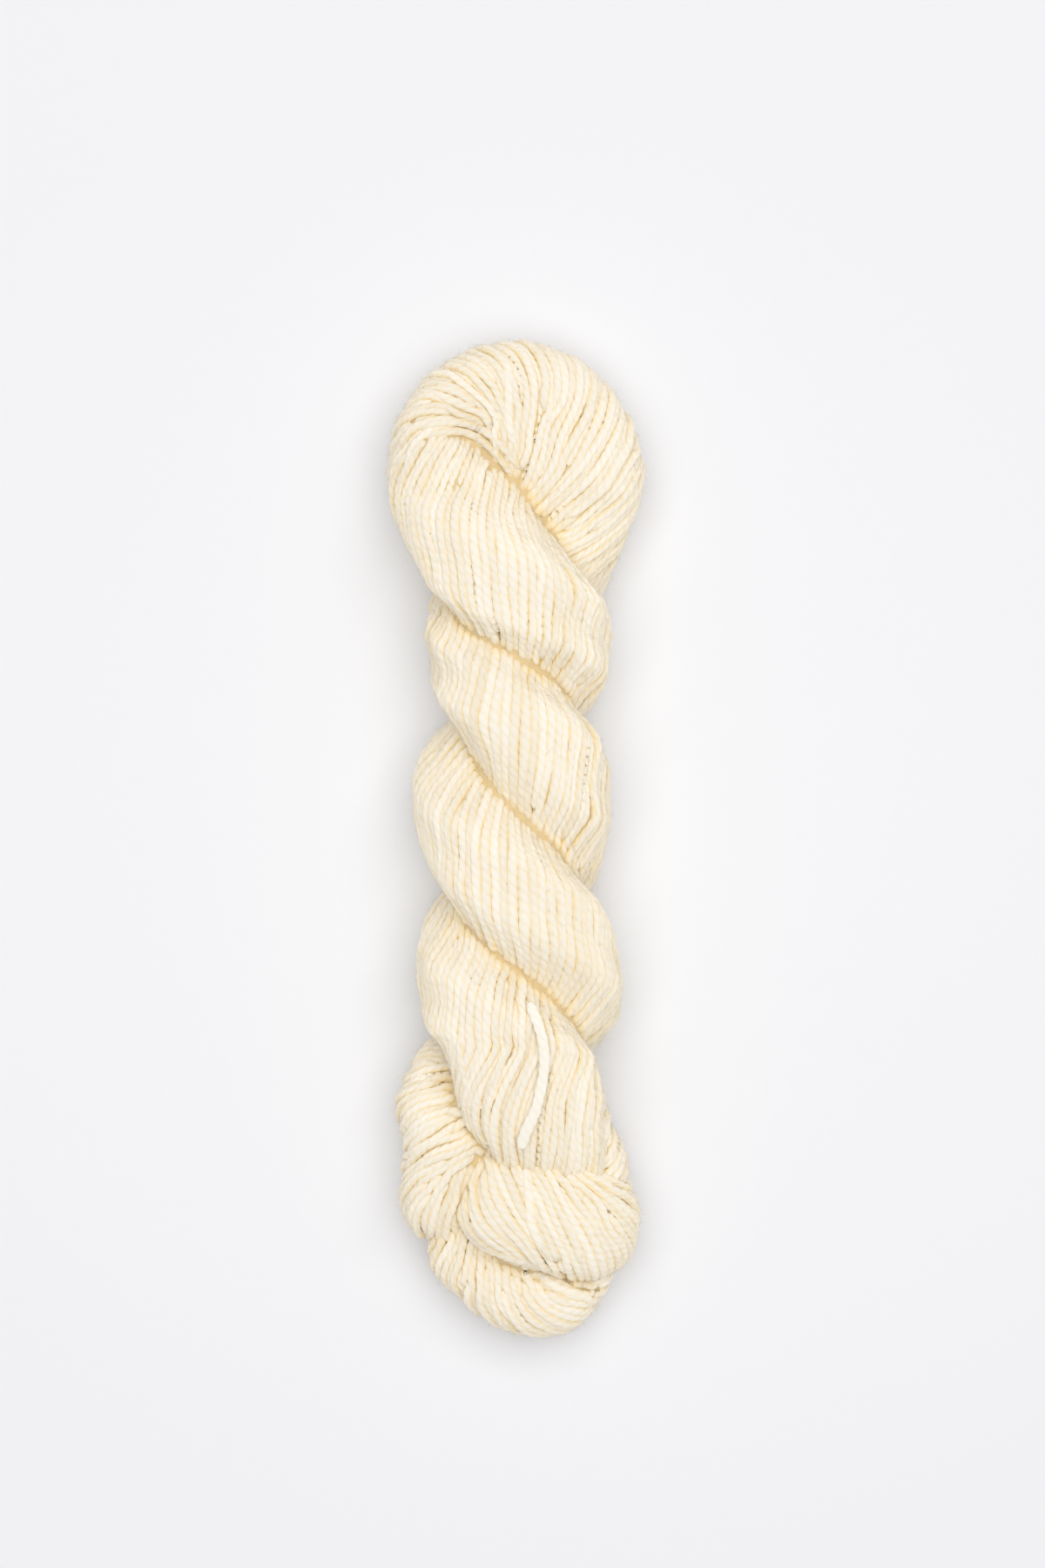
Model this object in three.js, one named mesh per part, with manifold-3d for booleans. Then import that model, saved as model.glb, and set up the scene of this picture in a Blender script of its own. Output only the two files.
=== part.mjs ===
// A twisted hank of worsted wool yarn, as it is sold: one long loop of two-ply yarn, twisted, folded in
// half so that its two legs wind round each other, and closed by tucking one end through the other.
// Millimetres. +Y runs along the hank towards its folded end, +Z is up, and the hank lies on z = 0.
// The hank is one solid of its wound form, without the single turns of yarn. The loose end of the yarn
// that ties it is a thin cord that lies on the solid.
import * as THREE from "three";
import { mergeVertices } from "three/addons/utils/BufferGeometryUtils.js";
import Module from "manifold-3d";

const wasm = await Module();
wasm.setup();

// Driving sizes.
const TIE_DIAMETER = 2.9;
const TIE_SIDES = 8;
const EYE_GAP = 0.8; // how far the legs stay from the middle of each eye

// The twisted body: a row for each quarter turn of the two legs, from the folded end down.
// y: place along the hank. z: height of the twist's axis. legA and legB: how far each leg reaches out
// from that axis. wide: half a leg's width across that direction. inner: where a leg's flat inner side
// lies, below 0 where it presses into the other leg.
const BODY = [
  { turn: 1.0, y: 96.5, z: 18.6, legA: 34.3, legB: 34.3, wide: 18.6, inner: -1.0 },
  { turn: 1.25, y: 81.0, z: 22.4, legA: 32.6, legB: 31.4, wide: 20.2, inner: -1.0 },
  { turn: 1.5, y: 66.0, z: 25.0, legA: 27.2, legB: 26.6, wide: 22.2, inner: -1.6 },
  { turn: 2.0, y: 49.0, z: 25.0, legA: 24.4, legB: 21.8, wide: 19.4, inner: -1.6 },
  { turn: 2.5, y: 32.6, z: 25.0, legA: 26.4, legB: 26.6, wide: 17.2, inner: -1.6 },
  { turn: 3.0, y: 8.0, z: 25.0, legA: 28.0, legB: 25.2, wide: 19.6, inner: -1.6 },
  { turn: 3.5, y: -14.0, z: 25.2, legA: 26.8, legB: 26.6, wide: 19.2, inner: -1.6 },
  { turn: 4.0, y: -35.2, z: 25.2, legA: 28.0, legB: 26.8, wide: 20.6, inner: -1.6 },
  { turn: 4.5, y: -57.0, z: 24.6, legA: 26.2, legB: 27.0, wide: 19.6, inner: -1.6 },
  { turn: 5.0, y: -79.0, z: 20.0, legA: 25.0, legB: 25.0, wide: 16.0, inner: -1.0 },
];
const BODY_STEP = 0.125;

// Turns round an eye, seen from above. around: the way from the eye to the leg, in degrees from +X
// towards +Y. reach and inner: how far the leg's outer and inner sides are from the eye. z: height of
// its middle. high: half its height.
const FOLD_EYE = { x: -13.0, y: 108.0 };
const FOLD = [
  { around: 180, reach: 20.6, inner: -1.0, z: 17.8, high: 17.8 },
  { around: 150, reach: 19.8, inner: 0.6, z: 17.6, high: 17.4 },
  { around: 120, reach: 20.8, inner: 0.6, z: 17.6, high: 17.2 },
  { around: 90, reach: 24.4, inner: 0.6, z: 17.8, high: 17.4 },
  { around: 60, reach: 31.0, inner: 0.6, z: 18.2, high: 18.0 },
  { around: 30, reach: 38.6, inner: 0.6, z: 18.6, high: 18.6 },
  { around: 0, reach: 45.9, inner: -1.0, z: 18.8, high: 18.8 },
];
const LEFT_EYE = { x: -6.0, y: -82.0 };
const LEFT_TURN = [
  { around: 112, reach: 32.5, z: 13.0, high: 12.0 },
  { around: 128, reach: 32.8, z: 15.0, high: 14.0 },
  { around: 142, reach: 31.2, z: 16.5, high: 15.5 },
  { around: 158, reach: 28.8, z: 18.0, high: 17.0 },
  { around: 180, reach: 24.6, z: 19.0, high: 17.5 },
  { around: 198, reach: 25.8, z: 19.0, high: 17.5 },
  { around: 219, reach: 31.8, z: 18.5, high: 17.0 },
  { around: 234, reach: 31.8, z: 17.5, high: 16.0 },
  { around: 252, reach: 28.5, z: 16.0, high: 14.0 },
  { around: 275, reach: 23.0, z: 14.0, high: 12.0 },
];
const BOTTOM_EYE = { x: 2.0, y: -113.0 };
const BOTTOM_TURN = [
  { around: 140, reach: 25.0, z: 14.0, high: 13.0 },
  { around: 160, reach: 26.0, z: 14.0, high: 13.0 },
  { around: 180, reach: 25.8, z: 13.5, high: 12.5 },
  { around: 196, reach: 24.0, z: 14.0, high: 13.0 },
  { around: 212, reach: 20.8, z: 14.5, high: 13.5 },
  { around: 236, reach: 20.0, z: 14.5, high: 13.5 },
  { around: 260, reach: 21.2, z: 14.5, high: 13.5 },
  { around: 282, reach: 22.4, z: 14.5, high: 13.5 },
  { around: 304, reach: 24.2, z: 14.5, high: 13.5 },
  { around: 325, reach: 24.0, z: 14.0, high: 13.0 },
  { around: 345, reach: 24.6, z: 13.0, high: 12.0 },
  { around: 368, reach: 24.0, z: 12.5, high: 11.0 },
];

// Bands of the tucked end. x, y, z: the middle of the band. away and tilt: the direction of its outer
// side, in degrees from +X towards +Y and up from level. deep: half its size in that direction. wide:
// half its size across it.
const TUCKED = [
  { x: 4.0, y: -68.0, z: 35.4, away: 270, tilt: 74, deep: 14.4, wide: 18.8 },
  { x: 9.5, y: -80.0, z: 29.0, away: 270, tilt: 57, deep: 14.0, wide: 16.0 },
  { x: 12.0, y: -91.0, z: 19.5, away: 280, tilt: 48, deep: 12.0, wide: 14.0 },
  { x: 9.0, y: -100.0, z: 12.5, away: 280, tilt: 48, deep: 10.0, wide: 11.0 },
];
const FRONT_BAND = [
  { x: -7.4, y: -89.5, z: 21.5, away: 72, tilt: 80, deep: 10.0, wide: 13.0 },
  { x: -2.5, y: -95.0, z: 27.0, away: 72, tilt: 84, deep: 12.2, wide: 16.0 },
  { x: 6.0, y: -99.0, z: 29.0, away: 66, tilt: 88, deep: 13.4, wide: 16.6 },
  { x: 17.0, y: -102.5, z: 25.0, away: 0, tilt: 52, deep: 13.6, wide: 16.0 },
  { x: 20.0, y: -104.5, z: 17.5, away: 356, tilt: 2, deep: 13.2, wide: 14.4 },
  { x: 13.0, y: -104.5, z: 10.4, away: 330, tilt: -60, deep: 10.0, wide: 12.0 },
  { x: 2.0, y: -102.0, z: 9.4, away: 270, tilt: -84, deep: 8.6, wide: 11.0 },
];
const SIDE_BUMP = [
  { x: 16.5, y: -74.0, z: 15.0, away: 20, tilt: 0, deep: 8.0, wide: 11.0 },
  { x: 21.0, y: -84.0, z: 18.0, away: 8, tilt: 0, deep: 9.8, wide: 14.0 },
  { x: 20.5, y: -95.0, z: 17.0, away: 355, tilt: 0, deep: 10.0, wide: 13.0 },
];

// The loose end of the yarn, on top of the last front leg. Its middle is half a diameter and 0.3 mm off
// the hank.
const TIE_ROUTE = [
  { x: 3.7, y: -43.6, z: 50.7 },
  { x: 5.9, y: -49.0, z: 53.2 },
  { x: 7.3, y: -54.0, z: 53.3 },
  { x: 7.6, y: -59.8, z: 52.7 },
  { x: 6.8, y: -65.8, z: 52.1 },
  { x: 5.2, y: -72.2, z: 50.9 },
  { x: 3.0, y: -77.0, z: 49.2 },
  { x: 1.4, y: -82.0, z: 46.6 },
];

// Fineness of the solid.
const SIDES = 20;
const STEP = 4.4;
const DOME = [0.5, 0.84]; // the size of the first sections at a closed end, as a share of the leg
const OUTER_ROUND = 2.2; // the power of a leg's outline on its outer side, 2 for an ellipse
const INNER_ROUND = 3.0;

const radians = THREE.MathUtils.degToRad;

// A value of BODY between its rows, on a smooth curve through them.
function bodyAt(turn, column) {
  const last = BODY.length - 1;
  const next = BODY.findIndex((row) => row.turn > turn);
  const i = next < 0 ? last - 1 : next - 1;
  const slope = (k) => {
    const [before, after] = [BODY[Math.max(k - 1, 0)], BODY[Math.min(k + 1, last)]];
    return (after[column] - before[column]) / (after.turn - before.turn);
  };
  const span = BODY[i + 1].turn - BODY[i].turn;
  const t = (turn - BODY[i].turn) / span;
  const [from, to] = [BODY[i][column], BODY[i + 1][column]];
  const [rise, fall] = [slope(i) * span, slope(i + 1) * span];
  return from + t * (rise + t * (3 * (to - from) - 2 * rise - fall + t * (2 * (from - to) + rise + fall)));
}

// A section of a leg: its middle, the unit vector to its outer side, the one across it, and half its
// size along each. The leg runs along out x side.
function section(middle, out, side, deep, wide) {
  return { middle, out, side, deep, wide };
}

// Leg A is on the left at turn 1 and leg B on the right; both turn the same way round the axis.
function bodySection(turn, isLegB) {
  const angle = Math.PI * (2 - turn) + (isLegB ? Math.PI : 0);
  const reach = bodyAt(turn, isLegB ? "legB" : "legA");
  const inner = bodyAt(turn, "inner");
  const out = new THREE.Vector3(Math.cos(angle), 0, Math.sin(angle));
  const side = new THREE.Vector3(Math.sin(angle), 0, -Math.cos(angle));
  if (isLegB) side.negate();
  const middle = new THREE.Vector3(0, bodyAt(turn, "y"), bodyAt(turn, "z"));
  middle.addScaledVector(out, (reach + inner) / 2);
  return section(middle, out, side, (reach - inner) / 2, bodyAt(turn, "wide"));
}

// The sections of a leg from one turn of BODY to another, both included.
function bodySections(fromTurn, toTurn, isLegB) {
  const count = Math.round(Math.abs(toTurn - fromTurn) / BODY_STEP);
  const turnAt = (i) => fromTurn + ((toTurn - fromTurn) * i) / count;
  return Array.from({ length: count + 1 }, (_, i) => bodySection(turnAt(i), isLegB));
}

// A section of a leg that runs clockwise round an eye.
function turnSection(eye, row) {
  const out = new THREE.Vector3(Math.cos(radians(row.around)), Math.sin(radians(row.around)), 0);
  const middle = new THREE.Vector3(eye.x, eye.y, row.z);
  const inner = row.inner ?? EYE_GAP;
  middle.addScaledVector(out, (row.reach + inner) / 2);
  return section(middle, out, new THREE.Vector3(0, 0, 1), (row.reach - inner) / 2, row.high);
}

// The rows of a band as sections.
function bandSections(rows) {
  const middles = rows.map((row) => new THREE.Vector3(row.x, row.y, row.z));
  return rows.map((row, i) => {
    const level = Math.cos(radians(row.tilt));
    const out = new THREE.Vector3(
      Math.cos(radians(row.away)) * level,
      Math.sin(radians(row.away)) * level,
      Math.sin(radians(row.tilt)),
    );
    const along = middles[Math.min(i + 1, rows.length - 1)].clone();
    along.sub(middles[Math.max(i - 1, 0)]);
    const side = new THREE.Vector3().crossVectors(along, out).normalize();
    out.crossVectors(side, along).normalize();
    return section(middles[i], out, side, row.deep, row.wide);
  });
}

// A smooth run of sections through the given ones, about STEP apart.
function smoothRun(sections) {
  const curve = (pick) => new THREE.CatmullRomCurve3(sections.map(pick), false, "catmullrom");
  const middle = curve((s) => s.middle);
  const out = curve((s) => s.out);
  const side = curve((s) => s.side);
  const sizes = curve((s) => new THREE.Vector3(s.deep, s.wide, 0));
  const count = Math.ceil(middle.getLength() / STEP);
  return Array.from({ length: count + 1 }, (_, i) => {
    const t = i / count;
    const size = sizes.getPoint(t);
    const outward = out.getPoint(t).normalize();
    const across = side.getPoint(t);
    across.addScaledVector(outward, -across.dot(outward)).normalize();
    return section(middle.getPoint(t), outward, across, size.x, size.y);
  });
}

// The outline of a leg: round on its outer side, flatter on its inner side.
function outlinePoint(s, angle, shrink) {
  const c = Math.cos(angle);
  const d = Math.sin(angle);
  const power = 2 / (c > 0 ? OUTER_ROUND : INNER_ROUND);
  const reach = Math.sign(c) * Math.abs(c) ** power * s.deep * shrink;
  const across = Math.sign(d) * Math.abs(d) ** power * s.wide * shrink;
  return s.middle.clone().addScaledVector(s.out, reach).addScaledVector(s.side, across);
}

// One closed surface over rings of points, with a fan to the middle of its first and last ring. The
// points of a ring go round the way that it runs, as a right-hand screw.
function closedSurface(rings, firstMiddle, lastMiddle) {
  const sides = rings[0].length;
  const points = rings.flat();
  const top = points.length - sides;
  const first = points.push(firstMiddle) - 1;
  const last = points.push(lastMiddle) - 1;
  const faces = [];
  for (let k = 0; k < sides; k++) {
    const next = (k + 1) % sides;
    faces.push(first, next, k, last, top + k, top + next);
    for (let row = 0; row < top; row += sides) {
      faces.push(row + k, row + next, row + sides + next, row + k, row + sides + next, row + sides + k);
    }
  }
  const geometry = new THREE.BufferGeometry().setFromPoints(points);
  geometry.setIndex(faces);
  return geometry;
}

// A closed tube through sections. roundStart and roundEnd close that end with a dome.
function tube(sections, roundStart, roundEnd) {
  const rings = sections.map((s, i) => {
    const fromEnd = Math.min(roundStart ? i : Infinity, roundEnd ? sections.length - 1 - i : Infinity);
    const shrink = DOME[fromEnd] ?? 1;
    return Array.from({ length: SIDES }, (_, k) => outlinePoint(s, (2 * Math.PI * k) / SIDES, shrink));
  });
  return closedSurface(rings, sections[0].middle, sections[sections.length - 1].middle);
}

// A round cord along a route, with a ring at each of its points.
function cord(route, diameter, sides) {
  const points = route.map((row) => new THREE.Vector3(row.x, row.y, row.z));
  const curve = new THREE.CatmullRomCurve3(points);
  const { normals, binormals } = curve.computeFrenetFrames(points.length - 1, false);
  const rings = normals.map((normal, i) => {
    const middle = curve.getPointAt(i / (points.length - 1));
    return Array.from({ length: sides }, (_, k) => {
      const angle = (2 * Math.PI * k) / sides;
      const point = middle.clone().addScaledVector(normal, (Math.cos(angle) * diameter) / 2);
      return point.addScaledVector(binormals[i], (Math.sin(angle) * diameter) / 2);
    });
  });
  return closedSurface(rings, points[0], points[points.length - 1]);
}

function toSolid(geometry) {
  const bare = geometry.clone();
  bare.deleteAttribute("normal");
  bare.deleteAttribute("uv");
  const merged = mergeVertices(bare, 1e-4);
  const vertProperties = merged.getAttribute("position").array;
  const triVerts = new Uint32Array(merged.index.array);
  return new wasm.Manifold(new wasm.Mesh({ numProp: 3, vertProperties, triVerts }));
}

function toGeometry(solid) {
  const mesh = solid.getMesh();
  const geometry = new THREE.BufferGeometry();
  geometry.setAttribute("position", new THREE.BufferAttribute(new Float32Array(mesh.vertProperties), 3));
  geometry.setIndex(new THREE.BufferAttribute(new Uint32Array(mesh.triVerts), 1));
  geometry.computeVertexNormals();
  return geometry;
}

// The two legs are one run of the yarn, up leg A, round the fold and down leg B. It is cut in two at
// the top of the fold, since the two legs press into each other.
function legSolids() {
  const run = smoothRun([
    ...bodySections(5, 1, false),
    ...FOLD.map((row) => turnSection(FOLD_EYE, row)),
    ...bodySections(1, 4.5, true),
    ...bandSections(TUCKED),
  ]);
  const heights = run.map((s) => s.middle.y);
  const top = heights.indexOf(Math.max(...heights));
  return [tube(run.slice(0, top + 1), true, false), tube(run.slice(top), false, true)];
}

function hankSolid() {
  const left = LEFT_TURN.map((row) => turnSection(LEFT_EYE, row)).reverse();
  const bottom = BOTTOM_TURN.map((row) => turnSection(BOTTOM_EYE, row)).reverse();
  const ends = [left, bottom, bandSections(FRONT_BAND), bandSections(SIDE_BUMP)];
  const tubes = ends.map((sections) => tube(smoothRun(sections), true, true));
  const solids = [...legSolids(), ...tubes].map(toSolid);
  const bodies = wasm.Manifold.union(solids).subtract(floorBlock()).decompose();
  return bodies.sort((a, b) => b.volume() - a.volume())[0]; // without slivers left at the eyes
}

// What the hank rests on, which flattens its underside.
function floorBlock() {
  const size = 400;
  return toSolid(new THREE.BoxGeometry(size, size, size).translate(0, 0, -size / 2));
}

const wool = new THREE.MeshStandardMaterial({ color: 0xf4e8cf, roughness: 0.95, metalness: 0 });
const looseWool = new THREE.MeshStandardMaterial({ color: 0xfaf6eb, roughness: 0.95, metalness: 0 });

const group = new THREE.Group();
function add(name, geometry, material) {
  const mesh = new THREE.Mesh(geometry, material);
  mesh.name = name;
  group.add(mesh);
}
add("hank", toGeometry(hankSolid()), wool);
add("tie_end", toGeometry(toSolid(cord(TIE_ROUTE, TIE_DIAMETER, TIE_SIDES))), looseWool);
export default group;
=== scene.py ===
"""Looks of the twisted hank of wool yarn.

The wound form is the part's own: the tables of its bands are repeated from the part's source. Each band is
laid with two layers of two-ply strands, which run at the angles of the band's lay table. The strands of the
outer layer are pressed apart until they lie beside each other, and each strand is made as a twisted tube.
A few single strands lie over them, fuzz and longer fibres stand off them, and a core closes the gaps under
them. The tables are in millimetres and degrees, and the meshes in metres.
"""
import math
import random
from collections import deque, namedtuple
from itertools import islice, takewhile

import bmesh
import bpy
import numpy as np
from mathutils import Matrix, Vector
from mathutils.bvhtree import BVHTree


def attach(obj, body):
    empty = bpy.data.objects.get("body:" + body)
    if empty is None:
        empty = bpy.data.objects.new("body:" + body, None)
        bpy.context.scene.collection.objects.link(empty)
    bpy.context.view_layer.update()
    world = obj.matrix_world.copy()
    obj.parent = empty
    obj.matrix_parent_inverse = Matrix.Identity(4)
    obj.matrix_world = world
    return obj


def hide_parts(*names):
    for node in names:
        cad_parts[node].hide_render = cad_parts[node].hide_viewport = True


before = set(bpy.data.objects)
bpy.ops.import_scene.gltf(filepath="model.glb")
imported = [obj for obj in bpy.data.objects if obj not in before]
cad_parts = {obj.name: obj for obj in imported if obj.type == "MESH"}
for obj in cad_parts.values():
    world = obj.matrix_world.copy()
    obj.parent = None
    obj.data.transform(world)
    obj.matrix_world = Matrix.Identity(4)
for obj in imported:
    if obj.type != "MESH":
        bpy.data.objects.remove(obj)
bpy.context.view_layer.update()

MM = 0.001


def named(columns, rows):
    """A table's rows as dictionaries, by the names of its columns."""
    names = columns.split()
    return [dict(zip(names, row)) for row in rows]


def in_scene(name, data):
    made = bpy.data.objects.new(name, data)
    bpy.context.scene.collection.objects.link(made)
    return made


# Lines and directions, as arrays of points
def unit(vectors):
    return vectors / np.maximum(np.linalg.norm(vectors, axis=-1, keepdims=True), 1e-12)


def smooth(values, t):
    """Points at t, counted in rows, on the smooth curve that the part's source runs through its rows."""
    values = np.asarray(values, float)
    ends = np.vstack([2 * values[0] - values[1], values, 2 * values[-1] - values[-2]])
    i = np.clip(np.floor(t).astype(int), 0, len(values) - 2)
    w = (t - i)[:, None]
    before, start, end, after = ends[i], ends[i + 1], ends[i + 2], ends[i + 3]
    leave, arrive = (end - before) / 2, (after - start) / 2
    bend = 3 * (end - start) - 2 * leave - arrive + w * (2 * (start - end) + leave + arrive)
    return start + w * (leave + w * bend)


def run_along(line):
    """How far along a line each of its points is."""
    return np.concatenate([[0], np.cumsum(np.linalg.norm(np.diff(line, axis=0), axis=1))])


def ease(t):
    t = np.clip(t, 0, 1)
    return t * t * (3 - 2 * t)


# Camera: straight above, at the photograph's frame
FRAME_HIGH = 425.16  # what the picture's long side shows, at the height where the hank is widest
FRAME_MIDDLE = (1.8, 15.0, 20.0)
CAMERA_AWAY = 1800.0
SENSOR = 36.0

camera = in_scene("camera", bpy.data.cameras.new("camera"))
bpy.context.scene.camera = camera
camera.data.sensor_width = SENSOR
camera.data.lens = SENSOR * CAMERA_AWAY / FRAME_HIGH
camera.data.clip_start = 0.05
camera.data.clip_end = 10.0
camera.location = (Vector(FRAME_MIDDLE) + Vector((0, 0, CAMERA_AWAY))) * MM

# The loose end, as in the part's source
TIE_DIAMETER = 2.9
TIE_ROUTE = [
    (3.7, -43.6, 50.7),
    (5.9, -49.0, 53.2),
    (7.3, -54.0, 53.3),
    (7.6, -59.8, 52.7),
    (6.8, -65.8, 52.1),
    (5.2, -72.2, 50.9),
    (3.0, -77.0, 49.2),
    (1.4, -82.0, 46.6),
]

# The wound form, as in the part's source
EYE_GAP = 0.8
BODY = named("turn y z leg_a leg_b wide inner", [
    (1.0, 96.5, 18.6, 34.3, 34.3, 18.6, -1.0),
    (1.25, 81.0, 22.4, 32.6, 31.4, 20.2, -1.0),
    (1.5, 66.0, 25.0, 27.2, 26.6, 22.2, -1.6),
    (2.0, 49.0, 25.0, 24.4, 21.8, 19.4, -1.6),
    (2.5, 32.6, 25.0, 26.4, 26.6, 17.2, -1.6),
    (3.0, 8.0, 25.0, 28.0, 25.2, 19.6, -1.6),
    (3.5, -14.0, 25.2, 26.8, 26.6, 19.2, -1.6),
    (4.0, -35.2, 25.2, 28.0, 26.8, 20.6, -1.6),
    (4.5, -57.0, 24.6, 26.2, 27.0, 19.6, -1.6),
    (5.0, -79.0, 20.0, 25.0, 25.0, 16.0, -1.0),
])
BODY_STEP = 0.125  # in turns
FOLD_EYE = (-13.0, 108.0)
FOLD = named("around reach inner z high", [
    (180, 20.6, -1.0, 17.8, 17.8),
    (150, 19.8, 0.6, 17.6, 17.4),
    (120, 20.8, 0.6, 17.6, 17.2),
    (90, 24.4, 0.6, 17.8, 17.4),
    (60, 31.0, 0.6, 18.2, 18.0),
    (30, 38.6, 0.6, 18.6, 18.6),
    (0, 45.9, -1.0, 18.8, 18.8),
])
LEFT_EYE = (-6.0, -82.0)
LEFT_TURN = named("around reach z high", [
    (112, 32.5, 13.0, 12.0),
    (128, 32.8, 15.0, 14.0),
    (142, 31.2, 16.5, 15.5),
    (158, 28.8, 18.0, 17.0),
    (180, 24.6, 19.0, 17.5),
    (198, 25.8, 19.0, 17.5),
    (219, 31.8, 18.5, 17.0),
    (234, 31.8, 17.5, 16.0),
    (252, 28.5, 16.0, 14.0),
    (275, 23.0, 14.0, 12.0),
])
BOTTOM_EYE = (2.0, -113.0)
BOTTOM_TURN = named("around reach z high", [
    (140, 25.0, 14.0, 13.0),
    (160, 26.0, 14.0, 13.0),
    (180, 25.8, 13.5, 12.5),
    (196, 24.0, 14.0, 13.0),
    (212, 20.8, 14.5, 13.5),
    (236, 20.0, 14.5, 13.5),
    (260, 21.2, 14.5, 13.5),
    (282, 22.4, 14.5, 13.5),
    (304, 24.2, 14.5, 13.5),
    (325, 24.0, 14.0, 13.0),
    (345, 24.6, 13.0, 12.0),
    (368, 24.0, 12.5, 11.0),
])
BAND = "x y z away tilt deep wide"
TUCKED = named(BAND, [
    (4.0, -68.0, 35.4, 270, 74, 14.4, 18.8),
    (9.5, -80.0, 29.0, 270, 57, 14.0, 16.0),
    (12.0, -91.0, 19.5, 280, 48, 12.0, 14.0),
    (9.0, -100.0, 12.5, 280, 48, 10.0, 11.0),
])
FRONT_BAND = named(BAND, [
    (-7.4, -89.5, 21.5, 72, 80, 10.0, 13.0),
    (-2.5, -95.0, 27.0, 72, 84, 12.2, 16.0),
    (6.0, -99.0, 29.0, 66, 88, 13.4, 16.6),
    (17.0, -102.5, 25.0, 0, 52, 13.6, 16.0),
    (20.0, -104.5, 17.5, 356, 2, 13.2, 14.4),
    (13.0, -104.5, 10.4, 330, -60, 10.0, 12.0),
    (2.0, -102.0, 9.4, 270, -84, 8.6, 11.0),
])
SIDE_BUMP = named(BAND, [
    (16.5, -74.0, 15.0, 20, 0, 8.0, 11.0),
    (21.0, -84.0, 18.0, 8, 0, 9.8, 14.0),
    (20.5, -95.0, 17.0, 355, 0, 10.0, 13.0),
])
OUTER_ROUND = 2.2
INNER_ROUND = 3.0

# Lay: the angle between the strands and the run of the band, at four places round the band. outer is its
# outer side, then 60 and 120 degrees round towards its side vector, and far is 90 degrees the other way.
LAY_PLACES = (-90, 0, 60, 120)
LAY = "far outer side inner"
# leg A, by the turns of BODY, from its lower end up
LEG_A_LAY = [
    (5.0, 120), (4.7, 120), (4.5, 74), (4.25, 66), (4.0, 65), (3.8, 64), (3.5, 62), (3.2, 66), (3.0, 63),
    (2.8, 58), (2.5, 60), (2.2, 60), (2.05, 66), (1.95, 76), (1.8, 74), (1.7, 68), (1.55, 58), (1.4, 55),
    (1.2, 53), (1.05, 47), (1.0, 54),
]
FOLD_LAY = named(LAY, [
    (60, 72, 62, 62),
    (60, 75, 54, 52),
    (62, 77, 62, 60),
    (60, 74, 57, 62),
    (60, 69, 54, 50),
    (58, 71, 49, 36),
    (62, 60, 52, 36),
])
# leg B, by the turns of BODY, from the fold down
LEG_B_LAY = [
    (1.0, 72), (1.1, 81), (1.2, 88), (1.35, 90), (1.45, 70), (1.6, 52), (1.7, 52), (1.8, 64), (1.95, 73),
    (2.1, 78), (2.2, 74), (2.45, 70), (2.6, 64), (2.75, 60), (2.95, 68), (3.05, 66), (3.2, 57), (3.35, 46),
    (3.6, 38), (3.8, 52), (3.95, 68), (4.2, 73), (4.3, 68), (4.5, 58),
]
TUCKED_LAY = named(LAY, [
    (18, 18, 18, 30),
    (26, 24, 12, 30),
    (50, 40, 20, 30),
    (50, 40, 20, 30),
])
LEFT_LAY = named(LAY, [
    (60, 65, 42, 34),
    (60, 74, 40, 36),
    (62, 86, 52, 48),
    (62, 82, 56, 58),
    (65, 80, 73, 76),
    (65, 74, 60, 60),
    (48, 42, 54, 60),
    (60, 56, 76, 85),
    (64, 70, 78, 84),
    (64, 70, 76, 80),
])
BOTTOM_LAY = named(LAY, [
    (50, 60, -10, -40),
    (50, 66, 0, -36),
    (50, 78, 30, -2),
    (54, 80, 50, 38),
    (54, 74, 50, 50),
    (54, 62, 43, 48),
    (54, 60, 49, 60),
    (54, 50, 46, 64),
    (58, 60, 54, 74),
    (60, 66, 64, 82),
    (60, 50, 72, 84),
    (60, 40, 72, 84),
])
# the front band's strands part into two ways within one of its rows, so its lay has its own places in rows
FRONT_LAY = named("row " + LAY, [
    (0.0, 40, 45, 46, 50),
    (0.3, 30, 38, 45, 50),
    (0.9, 15, 18, 35, 38),
    (1.3, 22, 28, 12, 8),
    (1.8, 20, 44, 4, -15),
    (2.15, 30, 58, 46, 30),
    (2.8, -15, 50, 65, 62),
    (3.2, -10, 32, 42, 32),
    (4.0, 5, 14, 22, 24),
    (6.0, 10, 15, 20, 20),
])
BUMP_LAY = named(LAY, [
    (50, 60, 45, 45),
    (50, 70, 50, 45),
    (60, 82, 60, 50),
])

Section = namedtuple("Section", "middle out side deep wide lay")


def row_lay(row):
    return tuple(row[name] for name in LAY.split())


# Sections of the bands
def body_at(turn, column):
    """A value of BODY between its rows, on a smooth curve through them."""
    last = len(BODY) - 1
    later = [k for k, row in enumerate(BODY) if row["turn"] > turn]
    i = later[0] - 1 if later else last - 1

    def slope(k):
        before, after = BODY[max(k - 1, 0)], BODY[min(k + 1, last)]
        return (after[column] - before[column]) / (after["turn"] - before["turn"])

    span = BODY[i + 1]["turn"] - BODY[i]["turn"]
    t = (turn - BODY[i]["turn"]) / span
    start, end = BODY[i][column], BODY[i + 1][column]
    rise, fall = slope(i) * span, slope(i + 1) * span
    bend = 3 * (end - start) - 2 * rise - fall + t * (2 * (start - end) + rise + fall)
    return start + t * (rise + t * bend)


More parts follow.
